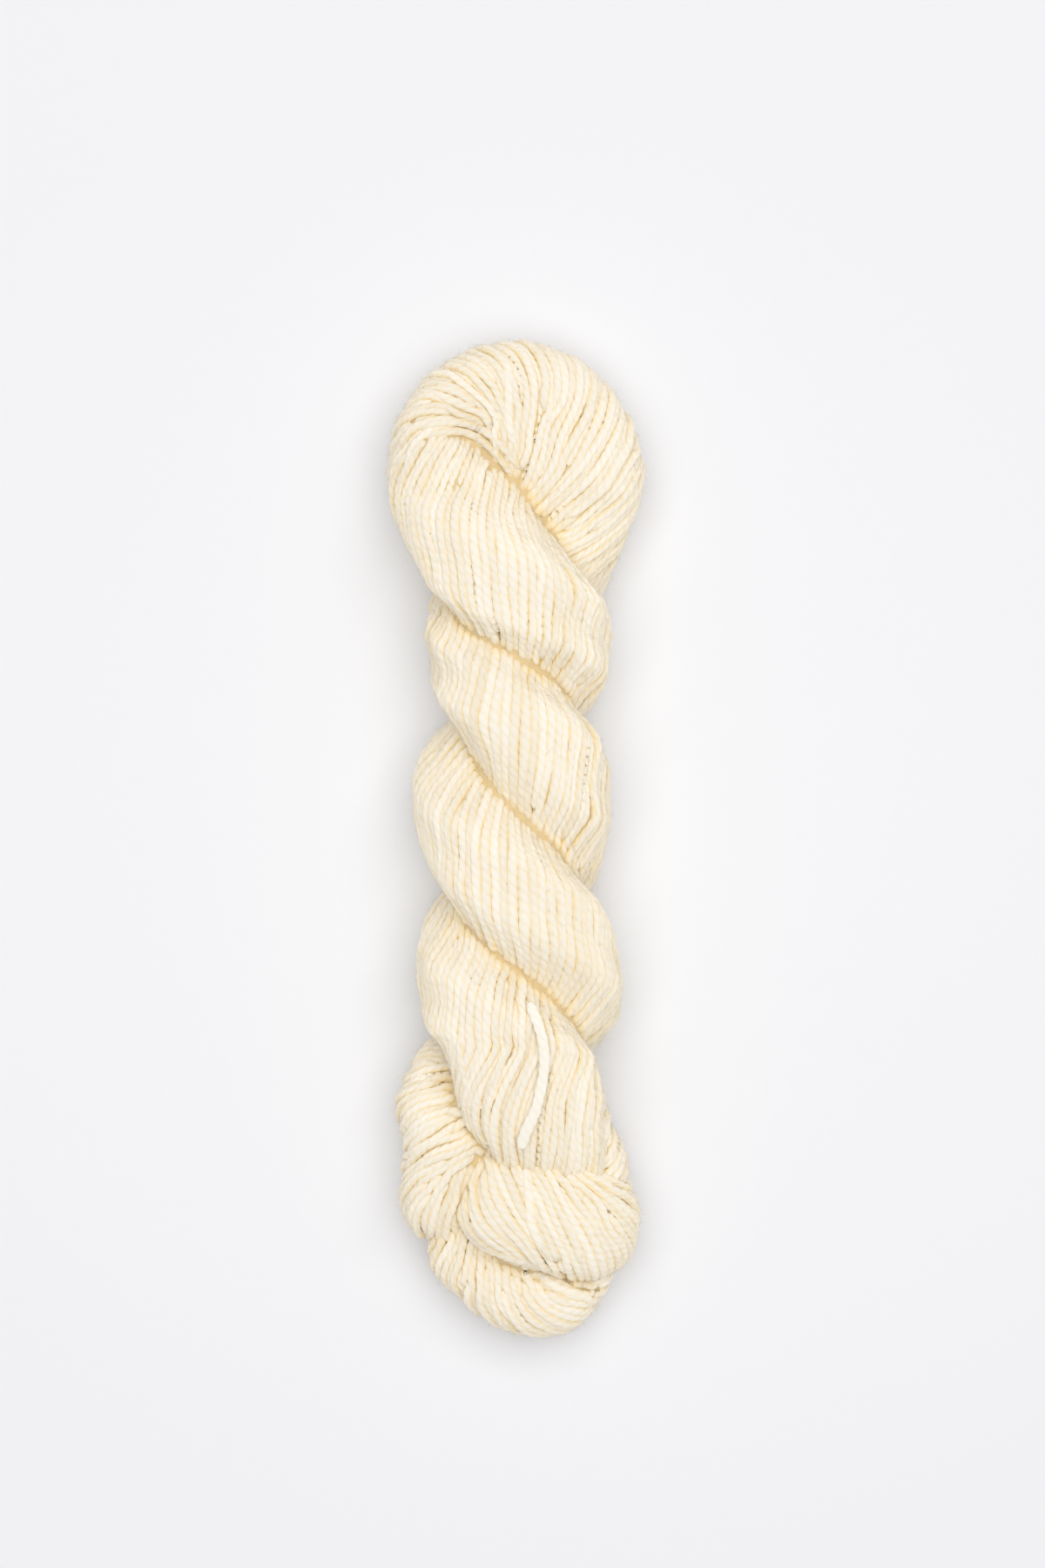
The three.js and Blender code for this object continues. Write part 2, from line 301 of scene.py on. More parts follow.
def body_section(turn, is_leg_b):
    angle = math.pi * (2 - turn) + (math.pi if is_leg_b else 0)
    reach = body_at(turn, "leg_b" if is_leg_b else "leg_a")
    inner = body_at(turn, "inner")
    out = np.array([math.cos(angle), 0, math.sin(angle)])
    side = np.array([math.sin(angle), 0, -math.cos(angle)]) * (-1 if is_leg_b else 1)
    middle = np.array([0, body_at(turn, "y"), body_at(turn, "z")]) + out * (reach + inner) / 2
    table = sorted(LEG_B_LAY if is_leg_b else LEG_A_LAY)
    lay = np.interp(turn, [row[0] for row in table], [row[1] for row in table])
    return Section(middle, out, side, (reach - inner) / 2, body_at(turn, "wide"), (lay,) * len(LAY_PLACES))


def body_sections(first, last, is_leg_b):
    count = round(abs(last - first) / BODY_STEP)
    return [body_section(first + (last - first) * i / count, is_leg_b) for i in range(count + 1)]


def turn_sections(eye, rows, lays):
    """Sections of a band that runs clockwise round an eye, seen from above."""
    sections = []
    for row, lay in zip(rows, lays):
        around = math.radians(row["around"])
        out = np.array([math.cos(around), math.sin(around), 0])
        inner = row.get("inner", EYE_GAP)
        middle = np.array([eye[0], eye[1], row["z"]]) + out * (row["reach"] + inner) / 2
        deep = (row["reach"] - inner) / 2
        sections.append(Section(middle, out, np.array([0, 0, 1.0]), deep, row["high"], row_lay(lay)))
    return sections


def band_sections(rows, lays):
    middles = [np.array([row["x"], row["y"], row["z"]]) for row in rows]
    sections = []
    for i, (row, lay) in enumerate(zip(rows, lays)):
        away, tilt = math.radians(row["away"]), math.radians(row["tilt"])
        level = math.cos(tilt)
        out = np.array([math.cos(away) * level, math.sin(away) * level, math.sin(tilt)])
        along = middles[min(i + 1, len(rows) - 1)] - middles[max(i - 1, 0)]
        side = unit(np.cross(along, out))
        out = unit(np.cross(side, along))
        sections.append(Section(middles[i], out, side, row["deep"], row["wide"], row_lay(lay)))
    return sections


# The hank's own surface, and how far the bottoms of its creases are filled: to where a ball of CREASE_BALL
# would rest in them, because soft strands close up where the legs press on each other
CREASE_BALL = 2.6
BALL_SLACK = 0.15  # a crease filled by less than this is only the roughness of the remeshed surfaces
FINE_CELL, CORE_CELL = 1.1, 1.7
WELD = 0.01


def tree_of(mesh):
    points = [vertex.co / MM for vertex in mesh.vertices]
    return BVHTree.FromPolygons(points, [tuple(face.vertices) for face in mesh.polygons])


def moved_out(mesh, distance):
    mesh.update()
    ways = [v.normal.copy() for v in mesh.vertices]
    for vertex, way in zip(mesh.vertices, ways):
        vertex.co += way * distance * MM


def remeshed(mesh, cell):
    """The mesh made anew from cells of one size, so that parts that overlap become one."""
    made = in_scene("remeshed", mesh)
    remesh = made.modifiers.new("remesh", "REMESH")
    remesh.mode = "VOXEL"
    remesh.voxel_size = cell * MM
    result = bpy.data.meshes.new_from_object(made.evaluated_get(bpy.context.evaluated_depsgraph_get()))
    bpy.data.objects.remove(made)
    return result


def hank_surfaces():
    """Trees of the hank's surface and of the surface CREASE_BALL outside it, and a mesh for the core."""
    welded = bmesh.new()
    welded.from_mesh(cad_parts["hank"].data)
    bmesh.ops.remove_doubles(welded, verts=welded.verts, dist=WELD * MM)
    whole = bpy.data.meshes.new("whole")
    welded.to_mesh(whole)
    welded.free()
    fine = remeshed(whole, FINE_CELL)
    tree = tree_of(fine)
    moved_out(fine, CREASE_BALL)
    return tree, tree_of(remeshed(fine, FINE_CELL)), remeshed(whole, CORE_CELL)


# The hollow under the front band's lower edge, where its last strands part from the bottom turn
HOLLOW = [(9.0, -115.6), (14.0, -118.0), (19.5, -119.6)]
HOLLOW_WIDE, HOLLOW_DEEP = 2.6, 4.0
HOLLOW_ABOVE = 8.0  # only the bottom turn's upper side is hollowed


def hollowed(points):
    """How far points of the bottom turn lie down in the hollow."""
    x, y, z = points[..., 0], points[..., 1], points[..., 2]
    near = np.min([np.hypot(x - a, y - b) for a, b in HOLLOW], axis=0)
    return np.where(z > HOLLOW_ABOVE, HOLLOW_DEEP * np.exp(-(near / HOLLOW_WIDE) ** 2), 0)


def lift_at(point):
    """How deep a point lies under the hank's surface, and how far the crease there is filled, as a vector."""
    on_surface, _, _, deep = surface.find_nearest(point)
    above, _, _, far = outside.find_nearest(on_surface)
    filled = max(far - CREASE_BALL - BALL_SLACK, 0)
    return deep, (above - on_surface) * (filled / far)


# Skins: the surface of each band as a grid, with the way that strands run on it
SKIN_STEP = 0.8
SKIN_SIDES = 128
LENGTH_STEPS = 40  # for each section, to measure a band's length
GIRTH_STEPS = 512  # round a section, to measure its girth
LEAST_ROOM = 0.05  # between two points of the grid
LIFT_ROUNDS = 2
LIFT_LEAN = 1.5  # how far the strands' outward direction turns to the way that a crease is filled
OWN_LAY = {"front": FRONT_LAY}
Skin = namedtuple("Skin", "points normals filled flow")


def band_lines(sections, lay_table):
    """A band's middle, its outward and sideways directions, its half sizes and its lay, at even steps."""
    middles = [s.middle for s in sections]
    rough = np.linspace(0, len(sections) - 1, LENGTH_STEPS * len(sections))
    run = run_along(smooth(middles, rough))
    rows = math.ceil(run[-1] / SKIN_STEP) + 1
    t = np.interp(np.linspace(0, run[-1], rows), run, rough)
    out = unit(smooth([s.out for s in sections], t))
    side = smooth([s.side for s in sections], t)
    side = unit(side - (side * out).sum(1, keepdims=True) * out)
    size = smooth([(s.deep, s.wide) for s in sections], t)
    lays, lay_rows = [s.lay for s in sections], range(len(sections))
    if lay_table:
        lays, lay_rows = [row_lay(row) for row in lay_table], [row["row"] for row in lay_table]
    lay = np.stack([np.interp(t, lay_rows, column) for column in np.array(lays, float).T], 1)
    return smooth(middles, t), out, side, size, lay


def band_grid(middle, out, side, size, lay):
    """The points of a band's surface, at even steps round each row, with the angle of the lay at each."""
    angles = np.linspace(0, 2 * math.pi, GIRTH_STEPS + 1)
    power = 2 / np.where(np.cos(angles) > 0, OUTER_ROUND, INNER_ROUND)
    reach = np.sign(np.cos(angles)) * np.abs(np.cos(angles)) ** power
    across = np.sign(np.sin(angles)) * np.abs(np.sin(angles)) ** power
    shares = np.arange(SKIN_SIDES) / SKIN_SIDES
    degrees = shares * 360
    turned = np.where(degrees >= 360 + LAY_PLACES[0], degrees - 360, degrees)
    places = np.array(list(LAY_PLACES) + [LAY_PLACES[0] + 360])
    points = np.empty((len(middle), SKIN_SIDES, 3))
    lays = np.empty((len(middle), SKIN_SIDES))
    for i in range(len(middle)):
        x, y = reach * size[i, 0], across * size[i, 1]
        girth = np.concatenate([[0], np.cumsum(np.hypot(np.diff(x), np.diff(y)))])
        wanted = shares * girth[-1]
        points[i] = middle[i] + np.interp(wanted, girth, x)[:, None] * out[i]
        points[i] += np.interp(wanted, girth, y)[:, None] * side[i]
        lays[i] = np.interp(turned, places, list(lay[i]) + [lay[i][0]])
    points[:, :, 2] = np.maximum(points[:, :, 2], 0)
    return points, lays


def skin_of(name, sections):
    """A band's skin. Its flow holds, for each grid point: x, y, z, then how far to go in rows and columns
    for each millimetre along a strand and across it, and how deep the point is under the hank's surface."""
    middle, *shape = band_lines(sections, OWN_LAY.get(name))
    points, lay = band_grid(middle, *shape)
    down = np.gradient(points, axis=0)
    round_ = (np.roll(points, -1, axis=1) - np.roll(points, 1, axis=1)) / 2
    normals = unit(np.cross(round_, down))
    outward = (normals * (points - middle[:, None])).sum(2)
    if (outward < 0).mean() > 0.5:
        normals = -normals
    length = np.linalg.norm(down, axis=2)
    ahead = unit(down)
    slant = (round_ * ahead).sum(2)
    beside = round_ - slant[:, :, None] * ahead
    width = np.maximum(np.linalg.norm(beside, axis=2), LEAST_ROOM)
    length = np.maximum(length, LEAST_ROOM)
    cos, sin = np.cos(np.radians(lay)), np.sin(np.radians(lay))
    along = np.stack([cos / length - sin * slant / (width * length), sin / width], 2)
    beyond = np.stack([-sin / length - cos * slant / (width * length), cos / width], 2)
    found = [lift_at(Vector(p)) for p in points.reshape(-1, 3)]
    depth = np.array([deep for deep, _ in found]).reshape(len(points), -1, 1)
    lift = np.array([tuple(up) for _, up in found]).reshape(len(points), -1, 3)
    for _ in range(LIFT_ROUNDS):
        lift = (np.roll(lift, 1, axis=1) + 2 * lift + np.roll(lift, -1, axis=1)) / 4
        lift[1:-1] = (lift[:-2] + 2 * lift[1:-1] + lift[2:]) / 4
    points = points + lift
    if name == "bottom":
        points[:, :, 2] -= hollowed(points)
    height = np.linalg.norm(lift, axis=2, keepdims=True)
    normals = unit(normals + lift / np.maximum(height, 0.01) * np.minimum(height, 1) * LIFT_LEAN)
    flow = np.concatenate([points, along, beyond, depth], 2)
    flow = np.concatenate([flow, flow[:, :1]], 1)
    return Skin(points, normals, height, [[tuple(q) for q in row] for row in flow.tolist()])


def flow_at(flow, i, j):
    """The values of a skin's flow at a place between its grid points, or None beyond its ends."""
    if i < 0 or i >= len(flow) - 1:
        return None
    j %= SKIN_SIDES
    i0, j0 = int(i), int(j)
    w, v = i - i0, j - j0
    near, far = flow[i0], flow[i0 + 1]
    a, b, c, d = (1 - w) * (1 - v), (1 - w) * v, w * (1 - v), w * v
    corners = zip(near[j0], near[j0 + 1], far[j0], far[j0 + 1])
    return [a * p + b * q + c * r + d * s for p, q, r, s in corners]


# Laying the strands: evenly spaced lines along the flow, each begun beside one that is already there
TRACE_STEP = 0.8
MOST_STEPS = 900
BURIED = 3.4  # a strand ends where the band is this deep inside the hank
BEGINS = 0.8  # and begins only where it is less deep than this share of that
CLOSEST = 0.58  # a strand ends where its neighbour comes closer than this share of the usual
FIT = 0.8  # a strand begins where it has this share of the usual room
UNEVEN = (0.88, 1.14)  # one strand's room against the usual
SEEDS = 6  # scattered places to begin from, for each row of the skin
CELL = 1.25  # the size of the cells that neighbours are looked for in, against the strands' usual room
SHORTEST = 9.0
TAIL = 3.4  # how far a strand runs on below its neighbours
STRIDE = (0.1, 1.8)  # a strand ends where a step along it comes out shorter or longer, against the usual
STRAIGHT = 0.7  # and where two steps turn by more than the angle with this cosine


class Near:
    """Points in cells, to find whether one is close."""

    def __init__(self, cell):
        self.cell = cell
        self.cells = {}

    def key(self, x, y, z):
        size = self.cell
        return (math.floor(x / size) * 4096 + math.floor(y / size)) * 4096 + math.floor(z / size)

    def add(self, p, owner):
        self.cells.setdefault(self.key(*p[:3]), []).append((p[0], p[1], p[2], owner))

    def taken(self, p, apart, owner=None):
        x, y, z = p[0], p[1], p[2]
        size, middle, limit = self.cell, self.key(x, y, z), apart * apart
        for dx in (-1, 0, 1):
            for dy in (-1, 0, 1):
                for dz in (-1, 0, 1):
                    for q in self.cells.get(middle + (dx * 4096 + dy) * 4096 + dz, ()):
                        if q[3] != owner and (q[0] - x) ** 2 + (q[1] - y) ** 2 + (q[2] - z) ** 2 < limit:
                            return True
        return False


def room_for(x, y):
    """How far apart the strands lie and how thick they are, against the usual: they are drawn fine towards
    the eye of the fold and lie loose round its outside."""
    away = math.hypot(x - FOLD_EYE[0], y - FOLD_EYE[1])
    if y < FOLD_EYE[1] - 25 or away > 50:
        return 1.0
    loose = 0.80 + 0.20 * min(away / 20, 1) + 0.16 * max(min((away - 20) / 20, 1), 0)
    return 1 + (loose - 1) * min((y - FOLD_EYE[1] + 25) / 20, 1)


def step_along(flow, i, j, way):
    """One step along the flow, with the middle of the step looked at first."""
    here = flow_at(flow, i, j)
    if here is None:
        return None
    half = flow_at(flow, i + here[3] * TRACE_STEP * way / 2, j + here[4] * TRACE_STEP * way / 2)
    if half is None:
        return None
    return i + half[3] * TRACE_STEP * way, j + half[4] * TRACE_STEP * way


def steps_from(flow, place, way):
    """The places that a strand passes until it leaves the skin, each with the flow there, how long the step
    came out, and whether the strand turned sharply before it."""
    last, heading = Vector(flow_at(flow, *place)[:3]), None
    while True:
        place = step_along(flow, *place, way)
        here = flow_at(flow, *place) if place else None
        if here is None:
            return
        stride = Vector(here[:3]) - last
        kinked = heading and stride.dot(heading) < STRAIGHT * stride.length * heading.length
        last, heading = Vector(here[:3]), stride
        yield place, here, stride.length, kinked


def trace(flow, near, start, closest, owner):
    """A strand through start, as its places, with why it ended before and after."""
    halves, ends = [], []
    for way in (-1, 1):
        places, end = [], "edge"
        for place, here, length, kinked in islice(steps_from(flow, start, way), MOST_STEPS):
            if here[7] > BURIED or kinked or not STRIDE[0] < length / TRACE_STEP < STRIDE[1]:
                end = "buried"
                break
            if near.taken(here, closest * room_for(here[0], here[1]), owner):
                end = "crowded"
                break
            places.append(place)
        halves.append(places)
        ends.append(end)
    return halves[0][::-1] + [start] + halves[1], ends


def run_on(flow, place, way):
    """The places of a strand's end that runs on under its neighbours."""
    steps = islice(steps_from(flow, place, way), int(TAIL / TRACE_STEP))
    return [step[0] for step in takewhile(lambda step: not step[3], steps)]


def lay_strands(skin, spacing):
    """Strands, each as its places on the skin, why it ended before and after, and how many places its two
    tails have."""
    flow, near = skin.flow, Near(spacing * CELL)
    rows = len(flow)
    seeds = deque()
    scattered = [(chance.uniform(2, rows - 3), chance.uniform(0, SKIN_SIDES)) for _ in range(rows * SEEDS)]
    strands = []
    while seeds or scattered:
        seed = seeds.popleft() if seeds else scattered.pop()
        here = flow_at(flow, *seed)
        if here is None or here[7] > BURIED * BEGINS:
            continue
        apart = spacing * chance.uniform(*UNEVEN)
        if near.taken(here, apart * FIT * room_for(here[0], here[1])):
            continue
        owner = len(strands)
        places, ends = trace(flow, near, seed, apart * CLOSEST, owner)
        if len(places) * TRACE_STEP < SHORTEST:
            continue
        for place in places:
            near.add(flow_at(flow, *place), owner)
        for place in places[::2]:
            here = flow_at(flow, *place)
            for way in (-1, 1):
                gap = apart * way * room_for(here[0], here[1])
                middle = flow_at(flow, place[0] + here[5] * gap / 2, place[1] + here[6] * gap / 2)
                if middle:
                    seeds.append((place[0] + middle[5] * gap, place[1] + middle[6] * gap))
        first = run_on(flow, places[0], -1)[::-1]
        last = run_on(flow, places[-1], 1)
        strands.append((first + places + last, ends, (len(first), len(last))))
    return strands


# Pressing the strands apart
DEPTH_CHANGE = 0.18  # how much deeper or less deep than the usual a strand lies, as a whole and along itself
DEPTH_EVERY = 13
ASIDE_CHANGE, ASIDE_EVERY = 0.22, 14  # how far it strays aside before it is pressed, and over what length
STRAY, STRAY_EVERY = 0.22, 11  # and from its even place beside the others afterwards
# how much further a strand's end goes, and over how many beads before its tail, by why it ends
END_DIPS = {"crowded": (2.3, 3), "buried": (0.5, 3), "edge": (3.2, 7)}
# The shade below is painted: the wool material paints its deep colour on a strand that lies in a filled
# crease or dips under its neighbours.
CREASE_SHADE = 1.5  # a strand is in full shade where its crease is filled by this much
DIP_SHADE = (0.7, 2.7)  # or where it dips by the second of these, with none at the first
PRESS_ROUNDS = 22
PAIRS_EVERY = 6  # rounds between two searches for the pairs of beads that may touch
PRESS_OUT, PRESS_IN, PRESS_ASIDE = 0.3, 0.5, 1.6  # how far a strand may be pressed from its place
TOUCH = 0.97  # strands touch at this share of their radii
PUSH = 1.3  # how much of the overlap goes in each round
FARTHEST = 4.2  # how far to look for the next strand
# a bead is beside another when it is no further ahead than the first, at least the second aside, and no
# further up or down than the third
BESIDE = (0.6, 0.7, 1.6)
EVEN_OUT = 0.07  # how much of the difference in room on either side a strand makes up in each round
CLOSE_UP = 1.16  # strands are this much wider than their room, so they lie pressed into each other
WIDTHS = (0.95, 1.7)

Beads = namedtuple("Beads", "place normal shade strand before after radius")


def on_grid(values, i, j):
    """Values of a skin's grid at many places between its points."""
    i = np.clip(i, 0, len(values) - 1.001)
    j = j % SKIN_SIDES
    i0, j0 = i.astype(int), j.astype(int) % SKIN_SIDES
    j1 = (j0 + 1) % SKIN_SIDES
    w, v = (i - i0)[:, None], (j - np.floor(j))[:, None]
    near = values[i0, j0] * (1 - v) + values[i0, j1] * v
    far = values[i0 + 1, j0] * (1 - v) + values[i0 + 1, j1] * v
    return near * (1 - w) + far * w


def wander(rng, count, every, size):
    """A number for each bead that changes slowly along the strand."""
    knots = rng.normal(0, size, max(3, int(count * TRACE_STEP / every) + 3))
    t = np.linspace(0, len(knots) - 1, count)
    return smooth(knots[:, None], t)[:, 0]


def bead_strand(skin, strand, sink):
    """Where a strand's beads are at first, with the outward direction and the painted shade at each."""
    places, ends, tails = strand
    i, j = np.array(places).T
    skin_points, normals = on_grid(skin.points, i, j), unit(on_grid(skin.normals, i, j))
    count = len(i)
    step = np.arange(count)
    dip = np.full(count, sink) + wander(rng, count, DEPTH_EVERY, DEPTH_CHANGE) + rng.normal(0, DEPTH_CHANGE)
    for end, tail, far in ((ends[0], tails[0], step), (ends[1], tails[1], step[::-1])):
        deep, over = END_DIPS[end]
        dip += deep * ease(1 - far / (tail + over))
    along = unit(np.gradient(skin_points, axis=0))
    beside = np.cross(along, normals) * wander(rng, count, ASIDE_EVERY, ASIDE_CHANGE)[:, None]
    points = skin_points - normals * dip[:, None] + beside
    in_crease = on_grid(skin.filled, i, j)[:, 0] / CREASE_SHADE
    in_dip = (dip - sink - DIP_SHADE[0]) / (DIP_SHADE[1] - DIP_SHADE[0])
    return points, normals, np.clip(np.maximum(in_crease, in_dip), 0, 1)


def close_pairs(points, reach):
    """Pairs of points closer than reach, by sorting them into cells."""
    cells = np.floor(points / reach).astype(np.int64) + 2048
    keys = (cells[:, 0] * 4096 + cells[:, 1]) * 4096 + cells[:, 2]
    order = np.argsort(keys, kind="stable")
    ordered = keys[order]
    found = []
    shifts = [(x, y, z) for x in (-1, 0, 1) for y in (-1, 0, 1) for z in (-1, 0, 1) if (x, y, z) >= (0, 0, 0)]
    for x, y, z in shifts:
        wanted = ordered + (x * 4096 + y) * 4096 + z
        start = np.searchsorted(ordered, wanted, "left")
        count = np.searchsorted(ordered, wanted, "right") - start
        first = np.repeat(np.arange(len(keys)), count)
        offset = np.arange(count.sum()) - np.repeat(np.cumsum(count) - count, count)
        second = np.repeat(start, count) + offset
        if (x, y, z) == (0, 0, 0):
            first, second = first[second > first], second[second > first]
        first, second = order[first], order[second]
        near = ((points[first] - points[second]) ** 2).sum(1) < reach * reach
        found.append((first[near], second[near]))
    return np.concatenate([f[0] for f in found]), np.concatenate([f[1] for f in found])


def on_other_strands(beads, places, reach):
    a, b = close_pairs(places, reach)
    other = beads.strand[a] != beads.strand[b]
    return a[other], b[other]


def room_beside(beads, places, pairs):
    """How far off the next strand is on either side of each bead."""
    a, b = pairs
    ahead = unit(places[beads.after] - places[beads.before])
    aside = unit(np.cross(ahead, beads.normal))
    room = np.full((len(places), 2), FARTHEST)
    for first, second in ((a, b), (b, a)):
        gap = places[second] - places[first]
        beside = (gap * aside[first]).sum(1)
        near = (np.abs((gap * ahead[first]).sum(1)) < BESIDE[0]) & (np.abs(beside) > BESIDE[1])
        near &= np.abs((gap * beads.normal[first]).sum(1)) < BESIDE[2]
        for column, way in ((0, 1), (1, -1)):
            use = near & (beside * way > 0)
            np.minimum.at(room[:, column], first[use], np.abs(beside[use]))
    return room, aside


def evened(values, beads, rounds):
    """Values smoothed along their strands."""
    for _ in range(rounds):
        values = values / 2 + (values[beads.before] + values[beads.after]) / 4
    return values


def press_apart(beads):
    """The beads' places once the strands have been pressed clear of each other, spread evenly beside each
    other and smoothed."""
    home, normal = beads.place, beads.normal
    count = len(home)
    shift = np.zeros_like(home)
    for turn in range(PRESS_ROUNDS):
        places = home + shift
        if turn % PAIRS_EVERY == 0:
            a, b = on_other_strands(beads, places, FARTHEST)
            wanted = (beads.radius[a] + beads.radius[b]) * TOUCH
        gap = places[a] - places[b]
        far = np.maximum(np.linalg.norm(gap, axis=1), 1e-6)
        push = gap * (np.maximum(wanted - far, 0) / far * 0.5)[:, None]
        touching = (wanted > far).astype(float)
        total = np.bincount(a, touching, count) + np.bincount(b, touching, count)
        for axis in range(3):
            moved = np.bincount(a, push[:, axis], count) - np.bincount(b, push[:, axis], count)
            shift[:, axis] += PUSH * moved / np.maximum(total, 1)
        room, aside = room_beside(beads, home + shift, (a, b))
        shift += aside * (EVEN_OUT * (room[:, 0] - room[:, 1]))[:, None]
        shift = evened(shift, beads, 2)
        out = (shift * normal).sum(1, keepdims=True)
        aside = shift - out * normal
        size = np.linalg.norm(aside, axis=1, keepdims=True)
        aside *= np.minimum(1, PRESS_ASIDE / np.maximum(size, 1e-6))
        shift = aside + np.clip(out, -PRESS_IN, PRESS_OUT) * normal
        low = (home + shift)[:, 2] < beads.radius
        shift[low, 2] = (beads.radius - home[:, 2])[low]
    return home + shift


def widths(beads):
    """How wide each bead is against its height, to close up with the strands on either side of it."""
    room, _ = room_beside(beads, beads.place, on_other_strands(beads, beads.place, FARTHEST))
    wide = room.mean(1) / (2 * beads.radius)
    return evened(np.clip(wide * CLOSE_UP, *WIDTHS), beads, 6)


def without_kinks(line):
    """The longest stretch of a line that has no sharp turn and no long step."""
    steps = np.diff(line, axis=0)
    length = np.linalg.norm(steps, axis=1)
    ahead = steps / np.maximum(length, 1e-6)[:, None]
    bad = np.concatenate([[True], (ahead[1:] * ahead[:-1]).sum(1) < STRAIGHT, [True]])
    bad[1:-1] |= (length[1:] > STRIDE[1] * TRACE_STEP) | (length[:-1] > STRIDE[1] * TRACE_STEP)
    breaks = np.flatnonzero(bad)
    longest = np.argmax(np.diff(breaks))
    return slice(breaks[longest], breaks[longest + 1] + 1)


def joined(strands):
    """Strands, each as its points, normals and shades, as one set of beads, with where each one starts and
    ends in it."""
    counts = [len(points) for points, _, _ in strands]
    ends = np.cumsum(counts)
    starts = ends - counts
    index = np.arange(ends[-1])
    before, after = index - 1, index + 1
    before[starts] = starts
    after[ends - 1] = ends - 1
    place, normal, shade = (np.concatenate(column) for column in zip(*strands))
    strand = np.repeat(np.arange(len(strands)), counts)
    return Beads(place, normal, shade, strand, before, after, None), list(zip(starts, ends))


# The strands settle to the edges that the photo shows: how far each edge moves to the right
SETTLE = named("y left right", [
    (80, 0, 0), (72, 0.3, -0.6), (67, 0.2, 0), (64.6, 1.3, 0.6), (61, 2.4, -1.0), (57.5, 1.8, -1.0),
    (52.8, -0.2, 0.2), (49, -1.4, 0.7), (45.7, 0.2, -0.3), (41.5, 2.3, -1.5), (36.3, 1.2, 0), (33, -0.8, 1.2),
    (28.5, -1.8, 0.4), (22, -0.3, -0.8), (15, 0, -0.7), (5.6, 0.4, 0.4), (0.8, 1.3, -1.4), (-4, 2.0, -2.3),
    (-8.6, 1.5, -1.6), (-13.3, 0.3, 0.9), (-18, 0.9, 0.2), (-24, 1.5, -0.8), (-29, 1.0, -1.2),
    (-37, 0.2, 0.2), (-43.5, 2.0, 0.2), (-51.1, 1.0, 1.3), (-57, 1.0, 2.1), (-62, 1.4, 0.6), (-69, 0.4, 0),
    (-77, 0, -2.0), (-86, 0, -0.7), (-92, 0, 0),
])
HALF_WIDE = 26.0
LOOSE_SHARE = 0.35  # nearer the middle than this share of the half width nothing moves
MOST_SHARE, SHARE_POWER = 1.2, 1.3  # from there outward the moves grow by this power, up to this share


def settled(points):
    """Points moved sideways as SETTLE says."""
    heights = [row["y"] for row in SETTLE[::-1]]
    moves = np.array([(row["left"], row["right"]) for row in SETTLE[::-1]])
    share = (np.abs(points[:, 0]) / HALF_WIDE - LOOSE_SHARE) / (1 - LOOSE_SHARE)
    left, right = (np.interp(points[:, 1], heights, moves[:, side]) for side in (0, 1))
    moved = points.copy()
    moved[:, 0] += np.where(points[:, 0] < 0, left, right) * np.clip(share, 0, MOST_SHARE) ** SHARE_POWER
    return moved


def dressed(name, mesh, material, node=None, slot="wool"):
    """A piece of the hank with its material, and in place of a node if one is named. The slot is not used."""
    mesh.materials.clear()
    mesh.materials.append(material)
    made = in_scene(name, mesh)
    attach(made, "root")
    if node:
        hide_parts(node)
    return made


# Twisted tubes
PLY_PITCH = 5.7  # one whole turn of the two plies
OFF_FLOOR = 0.02
UV_LENGTH = 10.0  # of yarn, to one whole step along the material's own places
# A strand in painted shade counts as less on top, so the wool material paints more of its deep colour on it.
SHADED = 0.3  # how far a strand in full shade counts as less on top
PLY_RADIUS, PLY_ASIDE = 0.97, 0.14  # each ply's own radius, and how far its middle is from the yarn's
SOFT = 0.6  # how far its normals lean outward, because light goes through loose fibres and softens its sides


def yarn_outline(sides):
    """The radius of the two plies together at each corner of the tube, for a yarn of radius 1."""
    angles = 2 * math.pi * np.arange(sides) / sides
    across = np.sqrt(PLY_RADIUS**2 - (PLY_ASIDE * np.sin(angles)) ** 2)
    radius = PLY_ASIDE * np.abs(np.cos(angles)) + across
    return angles, radius / (PLY_RADIUS + PLY_ASIDE / 2)


